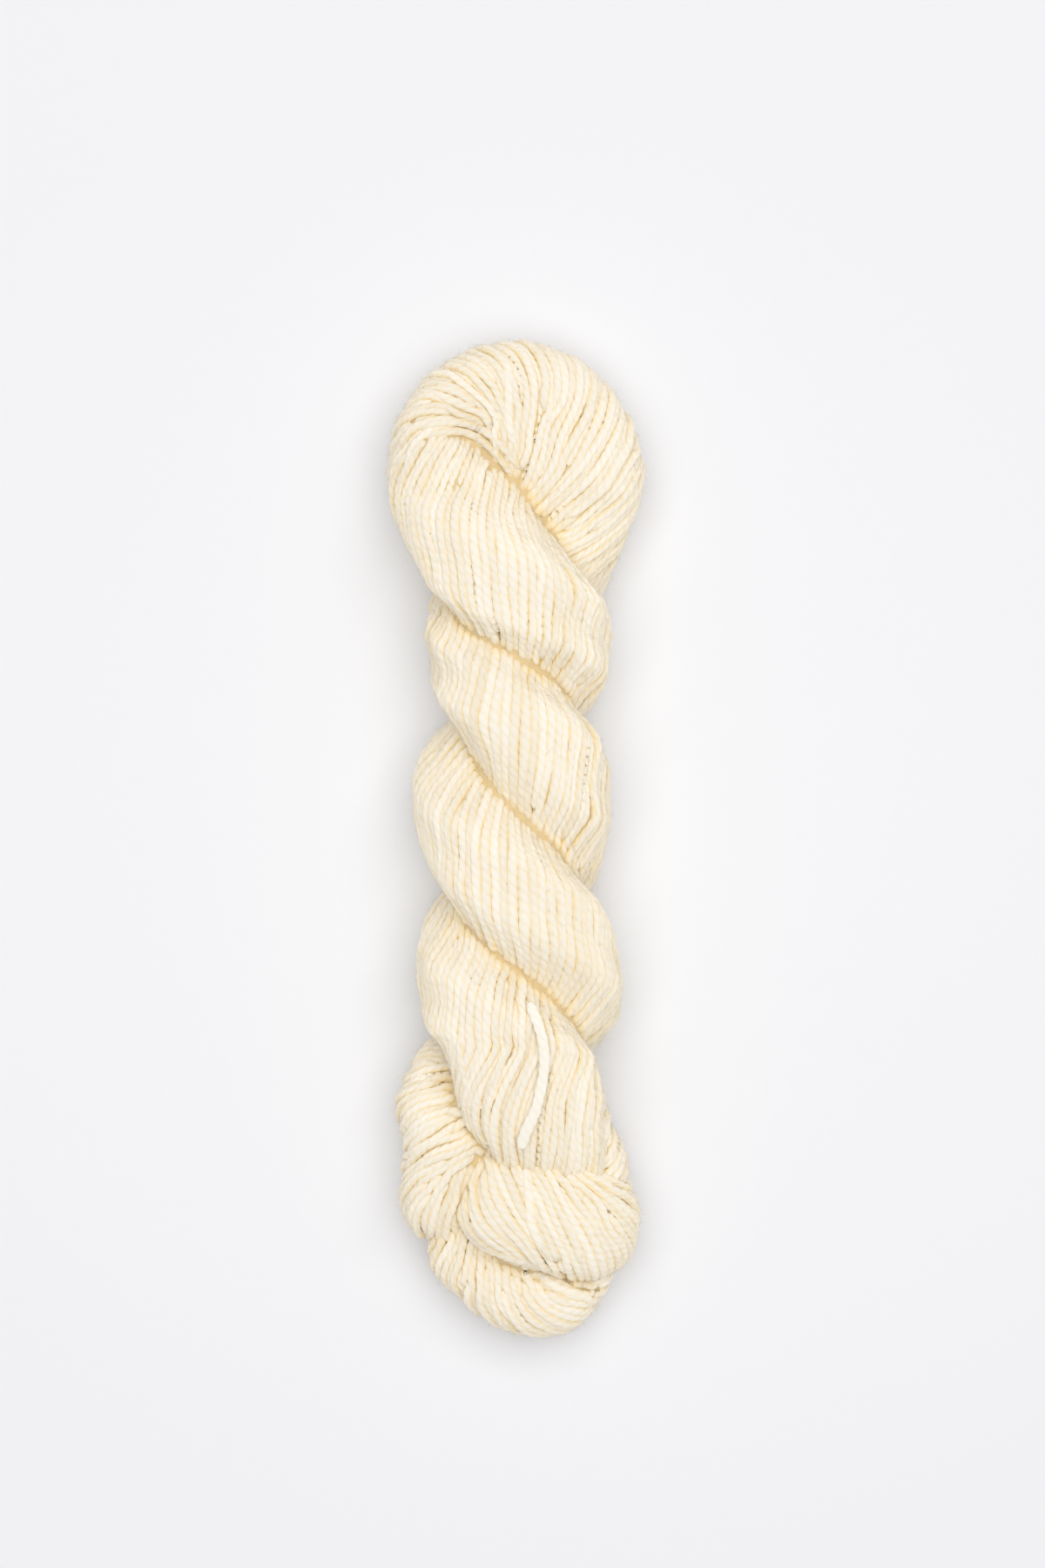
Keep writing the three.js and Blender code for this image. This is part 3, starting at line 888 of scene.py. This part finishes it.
class MeshParts:
    """Vertices, faces and their values, gathered for one mesh."""

    def __init__(self):
        self.points, self.normals, self.tones, self.tops = [], [], [], []
        self.corners, self.sizes, self.uvs = [], [], []
        self.count = 0

    def add(self, points, normals, faces, uvs, tone, top):
        """faces are rows of as many corners each, and uvs one for each corner of each face. top is 1 where
        a point is on top of its strand and 0 where it is under it."""
        self.points.append(points)
        self.normals.append(normals)
        self.tones.append(np.full(len(points), tone))
        # The wool material paints shade where top is low.
        self.tops.append(np.broadcast_to(top, len(points)))
        self.count += len(points)
        self.more_faces(faces, uvs)

    def more_faces(self, faces, uvs=None):
        """Faces of the points that were added last."""
        if uvs is None:
            uvs = np.zeros((*faces.shape, 2))
        self.corners.append((faces + self.count - len(self.points[-1])).ravel())
        self.sizes.append(np.full(len(faces), faces.shape[1]))
        self.uvs.append(uvs.reshape(-1, 2))

    def piece(self, name, material, **kept_as):
        """The gathered mesh as a piece. All settle but the loose end, which lies where its cord does."""
        points, corners = np.concatenate(self.points), np.concatenate(self.corners)
        points = (points if name == "loose_end" else settled(points)) * MM
        sizes = np.concatenate(self.sizes)
        mesh = bpy.data.meshes.new(name)
        mesh.vertices.add(len(points))
        mesh.vertices.foreach_set("co", points.astype(np.float32).ravel())
        mesh.loops.add(len(corners))
        mesh.loops.foreach_set("vertex_index", corners.astype(np.int32))
        mesh.polygons.add(len(sizes))
        mesh.polygons.foreach_set("loop_start", (np.cumsum(sizes) - sizes).astype(np.int32))
        mesh.update(calc_edges=True)
        mesh.uv_layers.new(name="yarn").data.foreach_set("uv", np.concatenate(self.uvs).ravel())
        for label, values in (("tone", self.tones), ("top", self.tops)):
            attribute = mesh.attributes.new(label, "FLOAT", "POINT")
            attribute.data.foreach_set("value", np.concatenate(values).astype(np.float32))
        mesh.polygons.foreach_set("use_smooth", [True] * len(sizes))
        mesh.normals_split_custom_set_from_vertices(np.concatenate(self.normals))
        return dressed(name, mesh, material, **kept_as)


def tube_faces(count, sides, angles, run):
    """The faces of a tube's sides, with their places on the wool: u goes round the tube and v along it."""
    base = (np.arange(count - 1) * sides)[:, None]
    k = np.arange(sides)
    after = (k + 1) % sides
    quads = np.stack([base + k, base + after, base + sides + after, base + sides + k], 2)
    u = angles / (2 * math.pi)
    u_after = u + 1 / sides
    v = run / UV_LENGTH
    uvs = np.empty((count - 1, sides, 4, 2))
    corners = ((u, v[:-1]), (u_after, v[:-1]), (u_after, v[1:]), (u, v[1:]))
    for corner, (across, along) in enumerate(corners):
        uvs[:, :, corner, 0] = across[None, :]
        uvs[:, :, corner, 1] = along[:, None]
    return quads.reshape(-1, 4), uvs


def tube_ends(count, sides):
    """Fans of faces that close a tube, round the two points that come after its rings."""
    k = np.arange(sides)
    after = (k + 1) % sides
    middle, last_ring = count * sides, (count - 1) * sides
    first = np.stack([np.full(sides, middle), after, k], 1)
    last = np.stack([np.full(sides, middle + 1), last_ring + k, last_ring + after], 1)
    return np.concatenate([first, last])


def add_yarn(parts, line, normals, radius, tone, start_turn, sides=8, wide=1.0, shade=0.0):
    """A strand of two-ply yarn along a line, its plies wound the way that the letter S runs."""
    angles, outline = yarn_outline(sides)
    ahead = unit(np.gradient(line, axis=0))
    up = unit(normals - (normals * ahead).sum(1, keepdims=True) * ahead)
    aside = np.cross(ahead, up)
    run = run_along(line)
    turned = angles[None, :] + start_turn - 2 * math.pi * run[:, None] / PLY_PITCH
    ring = outline[None, :] * np.reshape(radius, (-1, 1))
    across = ring * np.reshape(wide, (-1, 1))
    high = np.cos(turned)[:, :, None] * up[:, None]
    beside = np.sin(turned)[:, :, None] * aside[:, None]
    points = line[:, None] + ring[:, :, None] * high + across[:, :, None] * beside
    points = np.concatenate([points.reshape(-1, 3), line[:1], line[-1:]])
    points[:, 2] = np.maximum(points[:, 2], OFF_FLOOR)
    lit = unit(high + beside + SOFT * up[:, None]).reshape(-1, 3)
    lit = np.concatenate([lit, -ahead[:1], ahead[-1:]])
    # How far each point is on top of its strand, less where the strand is in painted shade: the wool material
    # paints shade where this is low.
    top = (0.5 + 0.5 * np.cos(turned)) * (1 - SHADED * np.reshape(shade, (-1, 1)))
    top = np.concatenate([top.ravel(), [0.5, 0.5]])
    parts.add(points, lit, *tube_faces(len(line), sides, angles, run), tone, top)
    parts.more_faces(tube_ends(len(line), sides))


# Fibres that stand off the strands, with three sides each
THIRDS = [2 * math.pi * k / 3 for k in range(3)]
HAIR_FACES = np.array([(0, 1, 4, 3), (1, 2, 5, 4), (2, 0, 3, 5)])
HAIR_TIP = np.array([(3, 4, 6), (4, 5, 6), (5, 3, 6), (0, 2, 1)])
SPIKE_FACES = np.array([(0, 1, 3), (1, 2, 3), (2, 0, 3), (0, 2, 1)])
HAIR_OFF_FLOOR = 0.03
HAIR_RISE, HAIR_LEAD, HAIR_SWAY = (0.15, 1.0), (0.3, 1.0), 0.6  # how far a hair points up, along and aside
HAIR_TWIST = 0.3  # how far its first side is turned by chance
HAIR_SHORTER = (0.4, 1.0)  # the shares of its whole length that it may have
BEND_AT, BEND_THICK, PAST_BEND = 0.5, 0.8, 0.6  # where a curved hair bends, how thick there, how long after
BEND_ANYWHERE, BEND_OUT = 0.55, (-0.5, 0.3)  # how far it turns there by chance, and outward


def hair_piece(name, roots, outward, along, long, radius, curved):
    """Tapering hairs with three sides: straight, or curved in two stretches."""
    count = len(roots)
    aside = np.cross(along, outward)
    sway = rng.normal(0, 1, (count, 3))
    rise = rng.uniform(*HAIR_RISE, count)[:, None]
    lead = rng.choice([-1, 1], count)[:, None] * rng.uniform(*HAIR_LEAD, count)[:, None]
    ahead = unit(outward * rise + along * lead + aside * sway[:, :1] * HAIR_SWAY)
    size = rng.uniform(*long, count)[:, None] * rng.uniform(*HAIR_SHORTER, count)[:, None]
    base_x = unit(np.cross(ahead, outward + HAIR_TWIST * sway))
    base_y = np.cross(ahead, base_x)
    around = [base_x * math.cos(turn) + base_y * math.sin(turn) for turn in THIRDS]
    rings = [roots + spoke * radius for spoke in around]
    facing = around + [ahead]
    tip = roots + ahead * size
    if curved:
        bend = roots + ahead * size * BEND_AT
        rings += [bend + spoke * radius * BEND_THICK for spoke in around]
        facing = around + facing
        anywhere = rng.normal(0, BEND_ANYWHERE, (count, 3))
        later = unit(ahead + anywhere + outward * rng.uniform(*BEND_OUT, count)[:, None])
        tip = bend + later * size * PAST_BEND
    each = len(rings) + 1
    points = np.stack(rings + [tip], 1).reshape(-1, 3)
    points[:, 2] = np.maximum(points[:, 2], HAIR_OFF_FLOOR)
    lit = np.stack(facing, 1).reshape(-1, 3)
    base = (np.arange(count) * each)[:, None, None]
    first_faces = HAIR_FACES if curved else SPIKE_FACES
    parts = MeshParts()
    faces = (first_faces + base).reshape(-1, first_faces.shape[1])
    parts.add(points, lit, faces, None, tone=0.5, top=1.0)
    if curved:
        parts.more_faces((HAIR_TIP + base).reshape(-1, 3))
    return parts.piece(name, fibre)


# Materials
def fill(tree, socket, value):
    """A socket's value, or what another node gives it."""
    if hasattr(value, "is_output"):
        tree.links.new(value, socket)
    else:
        socket.default_value = value


def node(tree, kind, **inputs):
    made = tree.nodes.new(kind)
    for name, value in inputs.items():
        fill(tree, made.inputs[name.replace("_", " ")], value)
    return made


def attribute_of(tree, name):
    made = tree.nodes.new("ShaderNodeAttribute")
    made.attribute_name = name
    return made.outputs["Fac"]


def noise(tree, vector, **inputs):
    return node(tree, "ShaderNodeTexNoise", Vector=vector, **inputs).outputs["Fac"]


def object_place(tree):
    return tree.nodes.new("ShaderNodeTexCoord").outputs["Object"]


def grey(value):
    return (value, value, value)


def ramp(tree, factor, *stops):
    made = tree.nodes.new("ShaderNodeValToRGB")
    elements = made.color_ramp.elements
    for k, (place, color) in enumerate(stops):
        element = elements[k] if k < len(elements) else elements.new(place)
        element.position = place
        element.color = (*color, 1)
    tree.links.new(factor, made.inputs["Fac"])
    return made.outputs["Color"]


def calculated(tree, operation, *values):
    made = tree.nodes.new("ShaderNodeMath")
    made.operation = operation
    for k, value in enumerate(values):
        fill(tree, made.inputs[k], value)
    return made.outputs["Value"]


def mixed(tree, blend, factor, a, b):
    """Two colours with their alpha, mixed. The node has inputs of each name for each type of value."""
    made = tree.nodes.new("ShaderNodeMix")
    made.data_type = "RGBA"
    made.blend_type = blend
    fill(tree, made.inputs["Factor"], factor)
    for name, value in (("A", a), ("B", b)):
        fill(tree, next(s for s in made.inputs if s.name == name and s.type == "RGBA"), value)
    return next(s for s in made.outputs if s.type == "RGBA")


def new_material(name, **inputs):
    """A material with values set on its shader's own sockets, and its node tree."""
    material = bpy.data.materials.new(name)
    material.use_nodes = True
    shader = material.node_tree.nodes["Principled BSDF"]
    for label, value in inputs.items():
        shader.inputs[label.replace("_", " ")].default_value = value
    return material, material.node_tree


def to_shader(tree, label, value):
    tree.links.new(value, tree.nodes["Principled BSDF"].inputs[label])


SHEEN_TINT = (1.0, 0.88, 0.66, 1)
DULLEST = (0.915, 0.875, 0.79)  # what the colours of the strand with the least tone are multiplied by


def wool_material(name, top, crease, deep, sheen):
    """Undyed wool: palest on top of a strand, with streaks of fibre along each ply and slow changes of tone
    from strand to strand. The crease colour is painted shade in the groove between the plies, mixed with the
    streaks, and the deep colour is painted shade down a strand's sides and under it, and on strands that
    lie in creases or dip under their neighbours."""
    material, tree = new_material(name, Roughness=0.92, Specular_IOR_Level=0.2, Sheen_Weight=sheen,
                                  Sheen_Tint=SHEEN_TINT, Sheen_Roughness=0.6)
    place = tree.nodes.new("ShaderNodeUVMap")
    place.uv_map = "yarn"
    split = node(tree, "ShaderNodeSeparateXYZ", Vector=place.outputs["UV"])
    turned = calculated(tree, "MULTIPLY", split.outputs["X"], 2 * math.pi)
    groove = calculated(tree, "ABSOLUTE", calculated(tree, "COSINE", turned))
    stretch = node(tree, "ShaderNodeMapping", Vector=place.outputs["UV"], Scale=(9.0, 3.2, 1.0))
    streaks = noise(tree, stretch.outputs["Vector"], Scale=1.6, Detail=3.0, Roughness=0.6)
    height = calculated(tree, "ADD", calculated(tree, "MULTIPLY", groove, 0.8),
                        calculated(tree, "MULTIPLY", streaks, 0.5))
    # The crease colour is painted shade in the groove between the plies, mixed with darker and paler streaks
    # of fibre.
    color = ramp(tree, height, (0.25, crease), (0.7, top))
    # Painted shade: how much of the deep colour each point gets, more down its strand's sides and under it,
    # in uneven patches.
    painted_side_shade = ramp(tree, attribute_of(tree, "top"), (0.6, grey(1.0)), (0.8, grey(0.4)), (1.0, grey(0.0)))
    patches = noise(tree, object_place(tree), Scale=150.0, Detail=2.0)
    strength = ramp(tree, patches, (0.34, grey(0.45)), (0.6, grey(1.0)))
    share = mixed(tree, "MULTIPLY", 1.0, painted_side_shade, strength)
    color = mixed(tree, "MIX", share, color, (*deep, 1))
    tone = ramp(tree, attribute_of(tree, "tone"), (0.0, DULLEST), (1.0, grey(1.0)))
    to_shader(tree, "Base Color", mixed(tree, "MULTIPLY", 1.0, color, tone))
    bump = node(tree, "ShaderNodeBump", Strength=0.7, Distance=0.0003, Height=height)
    to_shader(tree, "Normal", bump.outputs["Normal"])
    return material


def fibre_material():
    material, tree = new_material("fibre", Roughness=0.8, Specular_IOR_Level=0.25)
    spots = noise(tree, object_place(tree), Scale=300.0)
    to_shader(tree, "Base Color", ramp(tree, spots, (0.3, (0.90, 0.82, 0.68)), (0.7, (0.95, 0.90, 0.80))))
    return material


def floor_material():
    """A white surface, with a painted pool of light: a little brighter round the hank than further off."""
    material, tree = new_material("floor", Roughness=0.9, Specular_IOR_Level=0.1)
    away = node(tree, "ShaderNodeVectorMath")
    away.operation = "LENGTH"
    tree.links.new(object_place(tree), away.inputs[0])
    painted_light_near_color, far_color = (0.86, 0.873, 0.915), (0.825, 0.83, 0.87)
    to_shader(tree, "Base Color", ramp(tree, away.outputs["Value"], (0.05, painted_light_near_color), (0.22, far_color)))
    return material


# The second colour of each set is painted shade in the groove between the plies, and also the colour of the
# darker fibre streaks.
# The third colour of each set is painted shade, down the strands' sides, under them and in creases.
WOOL_TOP, WOOL_STREAK_AND_CREASE_SHADE, WOOL_PAINTED_SHADE = (0.93, 0.895, 0.835), (0.94, 0.87, 0.72), (0.94, 0.785, 0.475)
# The inside colours are painted shade all over, for the inner strands and the core, which show only in the
# gaps between the outer strands.
INSIDE_PAINTED_SHADE, CORE_PAINTED_SHADE = (0.84, 0.70, 0.44), (0.77, 0.63, 0.39)
LOOSE_TOP, LOOSE_STREAK_AND_CREASE_SHADE, LOOSE_PAINTED_SHADE = (0.93, 0.90, 0.83), (0.93, 0.885, 0.79), (0.94, 0.88, 0.74)
wool = wool_material("wool", WOOL_TOP, WOOL_STREAK_AND_CREASE_SHADE, WOOL_PAINTED_SHADE, 0.8)
loose_wool = wool_material("loose_wool", LOOSE_TOP, LOOSE_STREAK_AND_CREASE_SHADE, LOOSE_PAINTED_SHADE, 0.8)
painted_shade_wool = wool_material("painted_shade_wool", INSIDE_PAINTED_SHADE, CORE_PAINTED_SHADE, CORE_PAINTED_SHADE, 0.2)
fibre = fibre_material()

# Chance: the loose end has its own, so that it stays as it is when the strands change
rng = np.random.default_rng(20)
tie_rng = np.random.default_rng(8)
chance = random.Random(5)
WHOLE_TURN = 6.28

# The loose end: its line runs where the part's cord does
TIE_STEPS = 400
TIE_UNEVEN, TIE_EVERY = 0.05, 6  # how much its thickness changes, and over what length
TIE_TIP, TIE_TAPER = 0.6, 1.6  # how thin its tips are, and how soon they are as thick as the rest
TIE_TONE, TIE_START_TURN = 1.0, 0.4


def tie_piece():
    route = np.array(TIE_ROUTE)
    rough = np.linspace(0, len(route) - 1, TIE_STEPS)
    run = run_along(smooth(route, rough))
    line = smooth(route, np.interp(np.arange(0, run[-1], TRACE_STEP), run, rough))
    step = np.arange(len(line))
    from_end = np.minimum(step, step[::-1]) * TRACE_STEP
    uneven = 1 + wander(tie_rng, len(line), TIE_EVERY, TIE_UNEVEN)
    thick = TIE_DIAMETER / 2 * uneven * (TIE_TIP + (1 - TIE_TIP) * ease(from_end / TIE_TAPER))
    parts = MeshParts()
    add_yarn(parts, line, np.tile([0.0, 0.0, 1.0], (len(line), 1)), thick, TIE_TONE, TIE_START_TURN)
    made = parts.piece("loose_end", loose_wool, node="tie_end", slot="loose_wool")
    [c * MM for c in TIE_ROUTE[0]]


tie_piece()

# The strands of the hank. least is the fewest beads that a strand is made of once its kinks are out.
Layer = namedtuple("Layer", "apart sink radius sides step least")
OUTER = Layer(1.95, 1.05, 1.05, 8, 1, 6)
INNER = Layer(2.6, 2.15, 1.35, 6, 3, 9)
THICKNESS = (0.88, 1.12)  # one strand's against the usual
TONE = (0.6, 0.22)  # the middle and the spread of the strands' tones
legs = body_sections(5, 1, False) + turn_sections(FOLD_EYE, FOLD, FOLD_LAY)
legs += body_sections(1, 4.5, True) + band_sections(TUCKED, TUCKED_LAY)
BANDS = {
    "legs": legs,
    "left": turn_sections(LEFT_EYE, LEFT_TURN, LEFT_LAY)[::-1],
    "bottom": turn_sections(BOTTOM_EYE, BOTTOM_TURN, BOTTOM_LAY)[::-1],
    "front": band_sections(FRONT_BAND, FRONT_LAY[:len(FRONT_BAND)]),
    "bump": band_sections(SIDE_BUMP, BUMP_LAY),
}
surface, outside, core_mesh = hank_surfaces()
skins = [skin_of(name, sections) for name, sections in BANDS.items()]


def lay_layer(layer):
    """A layer of strands as beads, and where each strand starts and ends in them."""
    strands = []
    for skin in skins:
        laid = lay_strands(skin, layer.apart)
        strands += [bead_strand(skin, strand, layer.sink) for strand in laid]
    beads, ranges = joined(strands)
    thick = rng.uniform(*THICKNESS, len(ranges))[beads.strand]
    room = np.array([room_for(x, y) for x, y in beads.place[:, :2].tolist()])
    beads = beads._replace(radius=layer.radius * thick * room)
    if layer is OUTER:
        pressed = press_apart(beads)
        ahead = unit(pressed[beads.after] - pressed[beads.before])
        strays = np.concatenate([wander(rng, end - start, STRAY_EVERY, STRAY) for start, end in ranges])
        beads = beads._replace(place=pressed + np.cross(ahead, beads.normal) * strays[:, None])
    return beads, ranges


def kept_stretches(layer, beads, ranges):
    """The stretch of each strand that has no kink, where it is long enough."""
    for start, end in ranges:
        kept = without_kinks(beads.place[start:end])
        if kept.stop - kept.start >= layer.least:
            yield slice(start + kept.start, start + kept.stop, layer.step)


outer, outer_ranges = lay_layer(OUTER)
wide = widths(outer)
GROUPS = {"head": 82.0, "upper_body": 20.0, "lower_body": -40.0, "tail": -88.0, "tail_end": -200.0}
groups = {name: MeshParts() for name in GROUPS}
for kept in kept_stretches(OUTER, outer, outer_ranges):
    line = outer.place[kept]
    group = next(name for name, low in GROUPS.items() if line[:, 1].mean() > low)
    tone = float(np.clip(rng.normal(*TONE), 0, 1))
    add_yarn(groups[group], line, outer.normal[kept], outer.radius[kept], tone, rng.uniform(0, WHOLE_TURN),
             OUTER.sides, wide[kept], outer.shade[kept])
for name, parts in groups.items():
    parts.piece("yarn_" + name, wool, node="hank")

# The inner strands have the least tone and the inside colours, so they are painted darker and warmer, as
# shade between the outer strands.
inner, inner_ranges = lay_layer(INNER)
inside = MeshParts()
for kept in kept_stretches(INNER, inner, inner_ranges):
    start_turn = rng.uniform(0, WHOLE_TURN)
    add_yarn(inside, inner.place[kept], inner.normal[kept], inner.radius[kept], 0.0, start_turn, INNER.sides)
inside.piece("yarn_inside", painted_shade_wool, node="hank")

# Single strands that lie over the others in the photo, each by the points that it passes seen from above
RIDERS = named("thick pale points", [
    (1.15, 0.4, [(-27.0, 110.5), (-21.8, 111.8), (-14.8, 112.2), (-7.7, 109.4), (-1.8, 103.6), (1.8, 97.6)]),
    (1.1, 0.3, [(-26.0, 107.8), (-21.0, 109.4), (-14.5, 109.8), (-9.0, 107.2), (-3.6, 102.0), (0.0, 96.5)]),
    (1.25, 0.9, [(-3.9, 132.0), (-2.2, 126.5), (-1.9, 119.2), (-1.6, 110.7), (1.0, 103.3)]),
    (1.1, 0.8, [(-2.5, -52.0), (-3.2, -57.0), (-4.9, -62.5), (-6.7, -69.1), (-7.2, -73.0)]),
    (1.1, 0.7, [(-15.4, -50.5), (-14.8, -59.6), (-12.4, -67.2), (-7.7, -73.8)]),
    (1.05, 0.6, [(-10.5, -74.0), (-9.8, -78.1), (-8.6, -80.7), (-6.5, -81.8), (-4.6, -82.2)]),
    (1.4, 1.0, [(2.7, -85.6), (3.7, -96.5), (4.3, -103.1), (8.6, -111.8)]),
    (1.2, 0.6, [(-14.8, -102.2), (-12.2, -107.1), (-7.0, -110.7), (0.3, -112.8), (5.3, -114.7)]),
    (1.2, 0.5, [(9.1, -106.8), (10.7, -112.0), (11.7, -116.0)]),
    (1.2, 0.5, [(15.5, -106.8), (17.2, -112.5), (18.1, -116.6)]),
    (1.2, 0.6, [(1.8, -114.2), (4.1, -120.6), (5.6, -126.7)]),
    (1.3, 0.8, [(5.8, -116.9), (11.2, -120.9), (16.4, -122.7), (20.7, -123.4)]),
    (1.2, 0.6, [(7.0, -121.6), (12.6, -124.8), (17.4, -125.8)]),
])
RIDER_STEPS = 200
RIDER_SINK = 0.25
RIDER_DIP, RIDER_DIP_LENGTH = 2.4, 4.5  # how far its ends dip, and over what length
RAY_START, DOWN = 100, Vector((0, 0, -1))


def rider_line(points):
    """A strand's line on top of the hank, and the way up from it, with both ends dipping out of sight."""
    rough = smooth(points, np.linspace(0, len(points) - 1, RIDER_STEPS))
    run = run_along(rough)
    places = np.arange(0, run[-1], TRACE_STEP)
    line, ups = [], []
    for along in places:
        x, y = (np.interp(along, run, rough[:, axis]) for axis in (0, 1))
        hit, up, _, _ = surface.ray_cast(Vector((x, y, RAY_START)), DOWN)
        line.append(tuple(hit + lift_at(hit)[1]))
        ups.append(tuple(up))
    line, ups = np.array(line), unit(np.array(ups))
    for _ in range(3):
        line[1:-1, 2] = (line[:-2, 2] + 2 * line[1:-1, 2] + line[2:, 2]) / 4
    dips = ease(1 - places / RIDER_DIP_LENGTH) + ease(1 - places[::-1] / RIDER_DIP_LENGTH)
    return line - ups * (RIDER_SINK + RIDER_DIP * dips)[:, None], ups


riders = MeshParts()
for row in RIDERS:
    line, ups = rider_line(np.array(row["points"]))
    add_yarn(riders, line, ups, np.full(len(line), row["thick"]), row["pale"], rng.uniform(0, WHOLE_TURN))
riders.piece("yarn_over", wool)

# Fibres: short fuzz all over, and fewer long curved ones. They stand closer on the hank's sides, where they
# show against the floor, and hardly any stand on the strands that lie on it.
FIBRES = named("name count long radius curved", [
    ("fuzz", 32000, (1.0, 3.2), 0.05, False),
    ("fibres", 6500, (2.5, 6.5), 0.045, True),
])
SIDE_SLOPE, ON_FLOOR = 0.55, 3.0
ON_TOP_CHANCE, ON_FLOOR_CHANCE = 0.3, 0.05
FARTHEST_TURN = 1.5  # from the top of its strand, in radians
ROOT_DEPTH = 0.9  # where a fibre begins, as a share of the strand's radius
ahead = unit(outer.place[outer.after] - outer.place[outer.before])
chances = np.where(np.abs(outer.normal[:, 2]) < SIDE_SLOPE, 1.0, ON_TOP_CHANCE)
chances[outer.place[:, 2] < ON_FLOOR] = ON_FLOOR_CHANCE
chances /= chances.sum()
for row in FIBRES:
    count = row["count"]
    pick = rng.choice(len(outer.place), count, p=chances)
    along = ahead[pick]
    up = unit(outer.normal[pick] - (outer.normal[pick] * along).sum(1, keepdims=True) * along)
    turn = rng.uniform(-FARTHEST_TURN, FARTHEST_TURN, count)[:, None]
    outward = up * np.cos(turn) + np.cross(along, up) * np.sin(turn) * np.reshape(wide[pick], (-1, 1))
    roots = outer.place[pick] + outward * ROOT_DEPTH * outer.radius[pick][:, None]
    roots += along * rng.uniform(0, TRACE_STEP, count)[:, None]
    hair_piece(row["name"], roots, unit(outward), along, row["long"], row["radius"], row["curved"])

# Under the strands: the hank's own form, further under where a crease is filled
CORE_UNDER = 1.0
CREASE_UNDER, MOST_UNDER = 0.3, 0.6
CORE_OFF_FLOOR = 0.4
core_mesh.update()
core_places = []
for vertex in core_mesh.vertices:
    _, up = lift_at(vertex.co / MM)
    under = CORE_UNDER + min(CREASE_UNDER * up.length, MOST_UNDER)
    place = vertex.co / MM + up - vertex.normal * under
    place.z -= hollowed(np.array(place))
    core_places += [place.x * MM, place.y * MM, max(place.z, CORE_OFF_FLOOR) * MM]
core_places = settled(np.reshape(core_places, (-1, 3)) / MM) * MM
core_mesh.vertices.foreach_set("co", core_places.ravel())
core_mesh.polygons.foreach_set("use_smooth", [True] * len(core_mesh.polygons))
core_mesh.update()
# The core is painted darker and warmer all over, as the shade in the gaps between the strands.
dressed("core", core_mesh, painted_shade_wool)

# Floor and light
FLOOR_SIZE = 6.0
bpy.ops.mesh.primitive_plane_add(size=FLOOR_SIZE, location=(0, 0, 0))
floor = bpy.context.object
floor.name = "floor"
floor.data.materials.append(floor_material())

world = bpy.data.worlds.new("studio")
bpy.context.scene.world = world
world.use_nodes = True
world_tree = world.node_tree
toward = world_tree.nodes.new("ShaderNodeTexCoord").outputs["Generated"]
height = node(world_tree, "ShaderNodeSeparateXYZ", Vector=toward).outputs["Z"]
sky = ramp(world_tree, height, (0.0, grey(1.0)), (0.5, grey(0.28)), (1.0, grey(0.14)))
background = world_tree.nodes["Background"]
world_tree.links.new(sky, background.inputs["Color"])
background.inputs["Strength"].default_value = 1.5

softbox = bpy.data.lights.new("top_light", "AREA")
softbox.shape = "SQUARE"
softbox.size = 2.2
softbox.energy = 46
softbox.color = (1.0, 0.985, 0.955)
top_light = in_scene("top_light", softbox)
top_light.location = (0.1, 0.25, 2.3)
top_light.rotation_euler = (-top_light.location).to_track_quat("-Z", "Y").to_euler()
bpy.context.scene.view_settings.view_transform = "Standard"
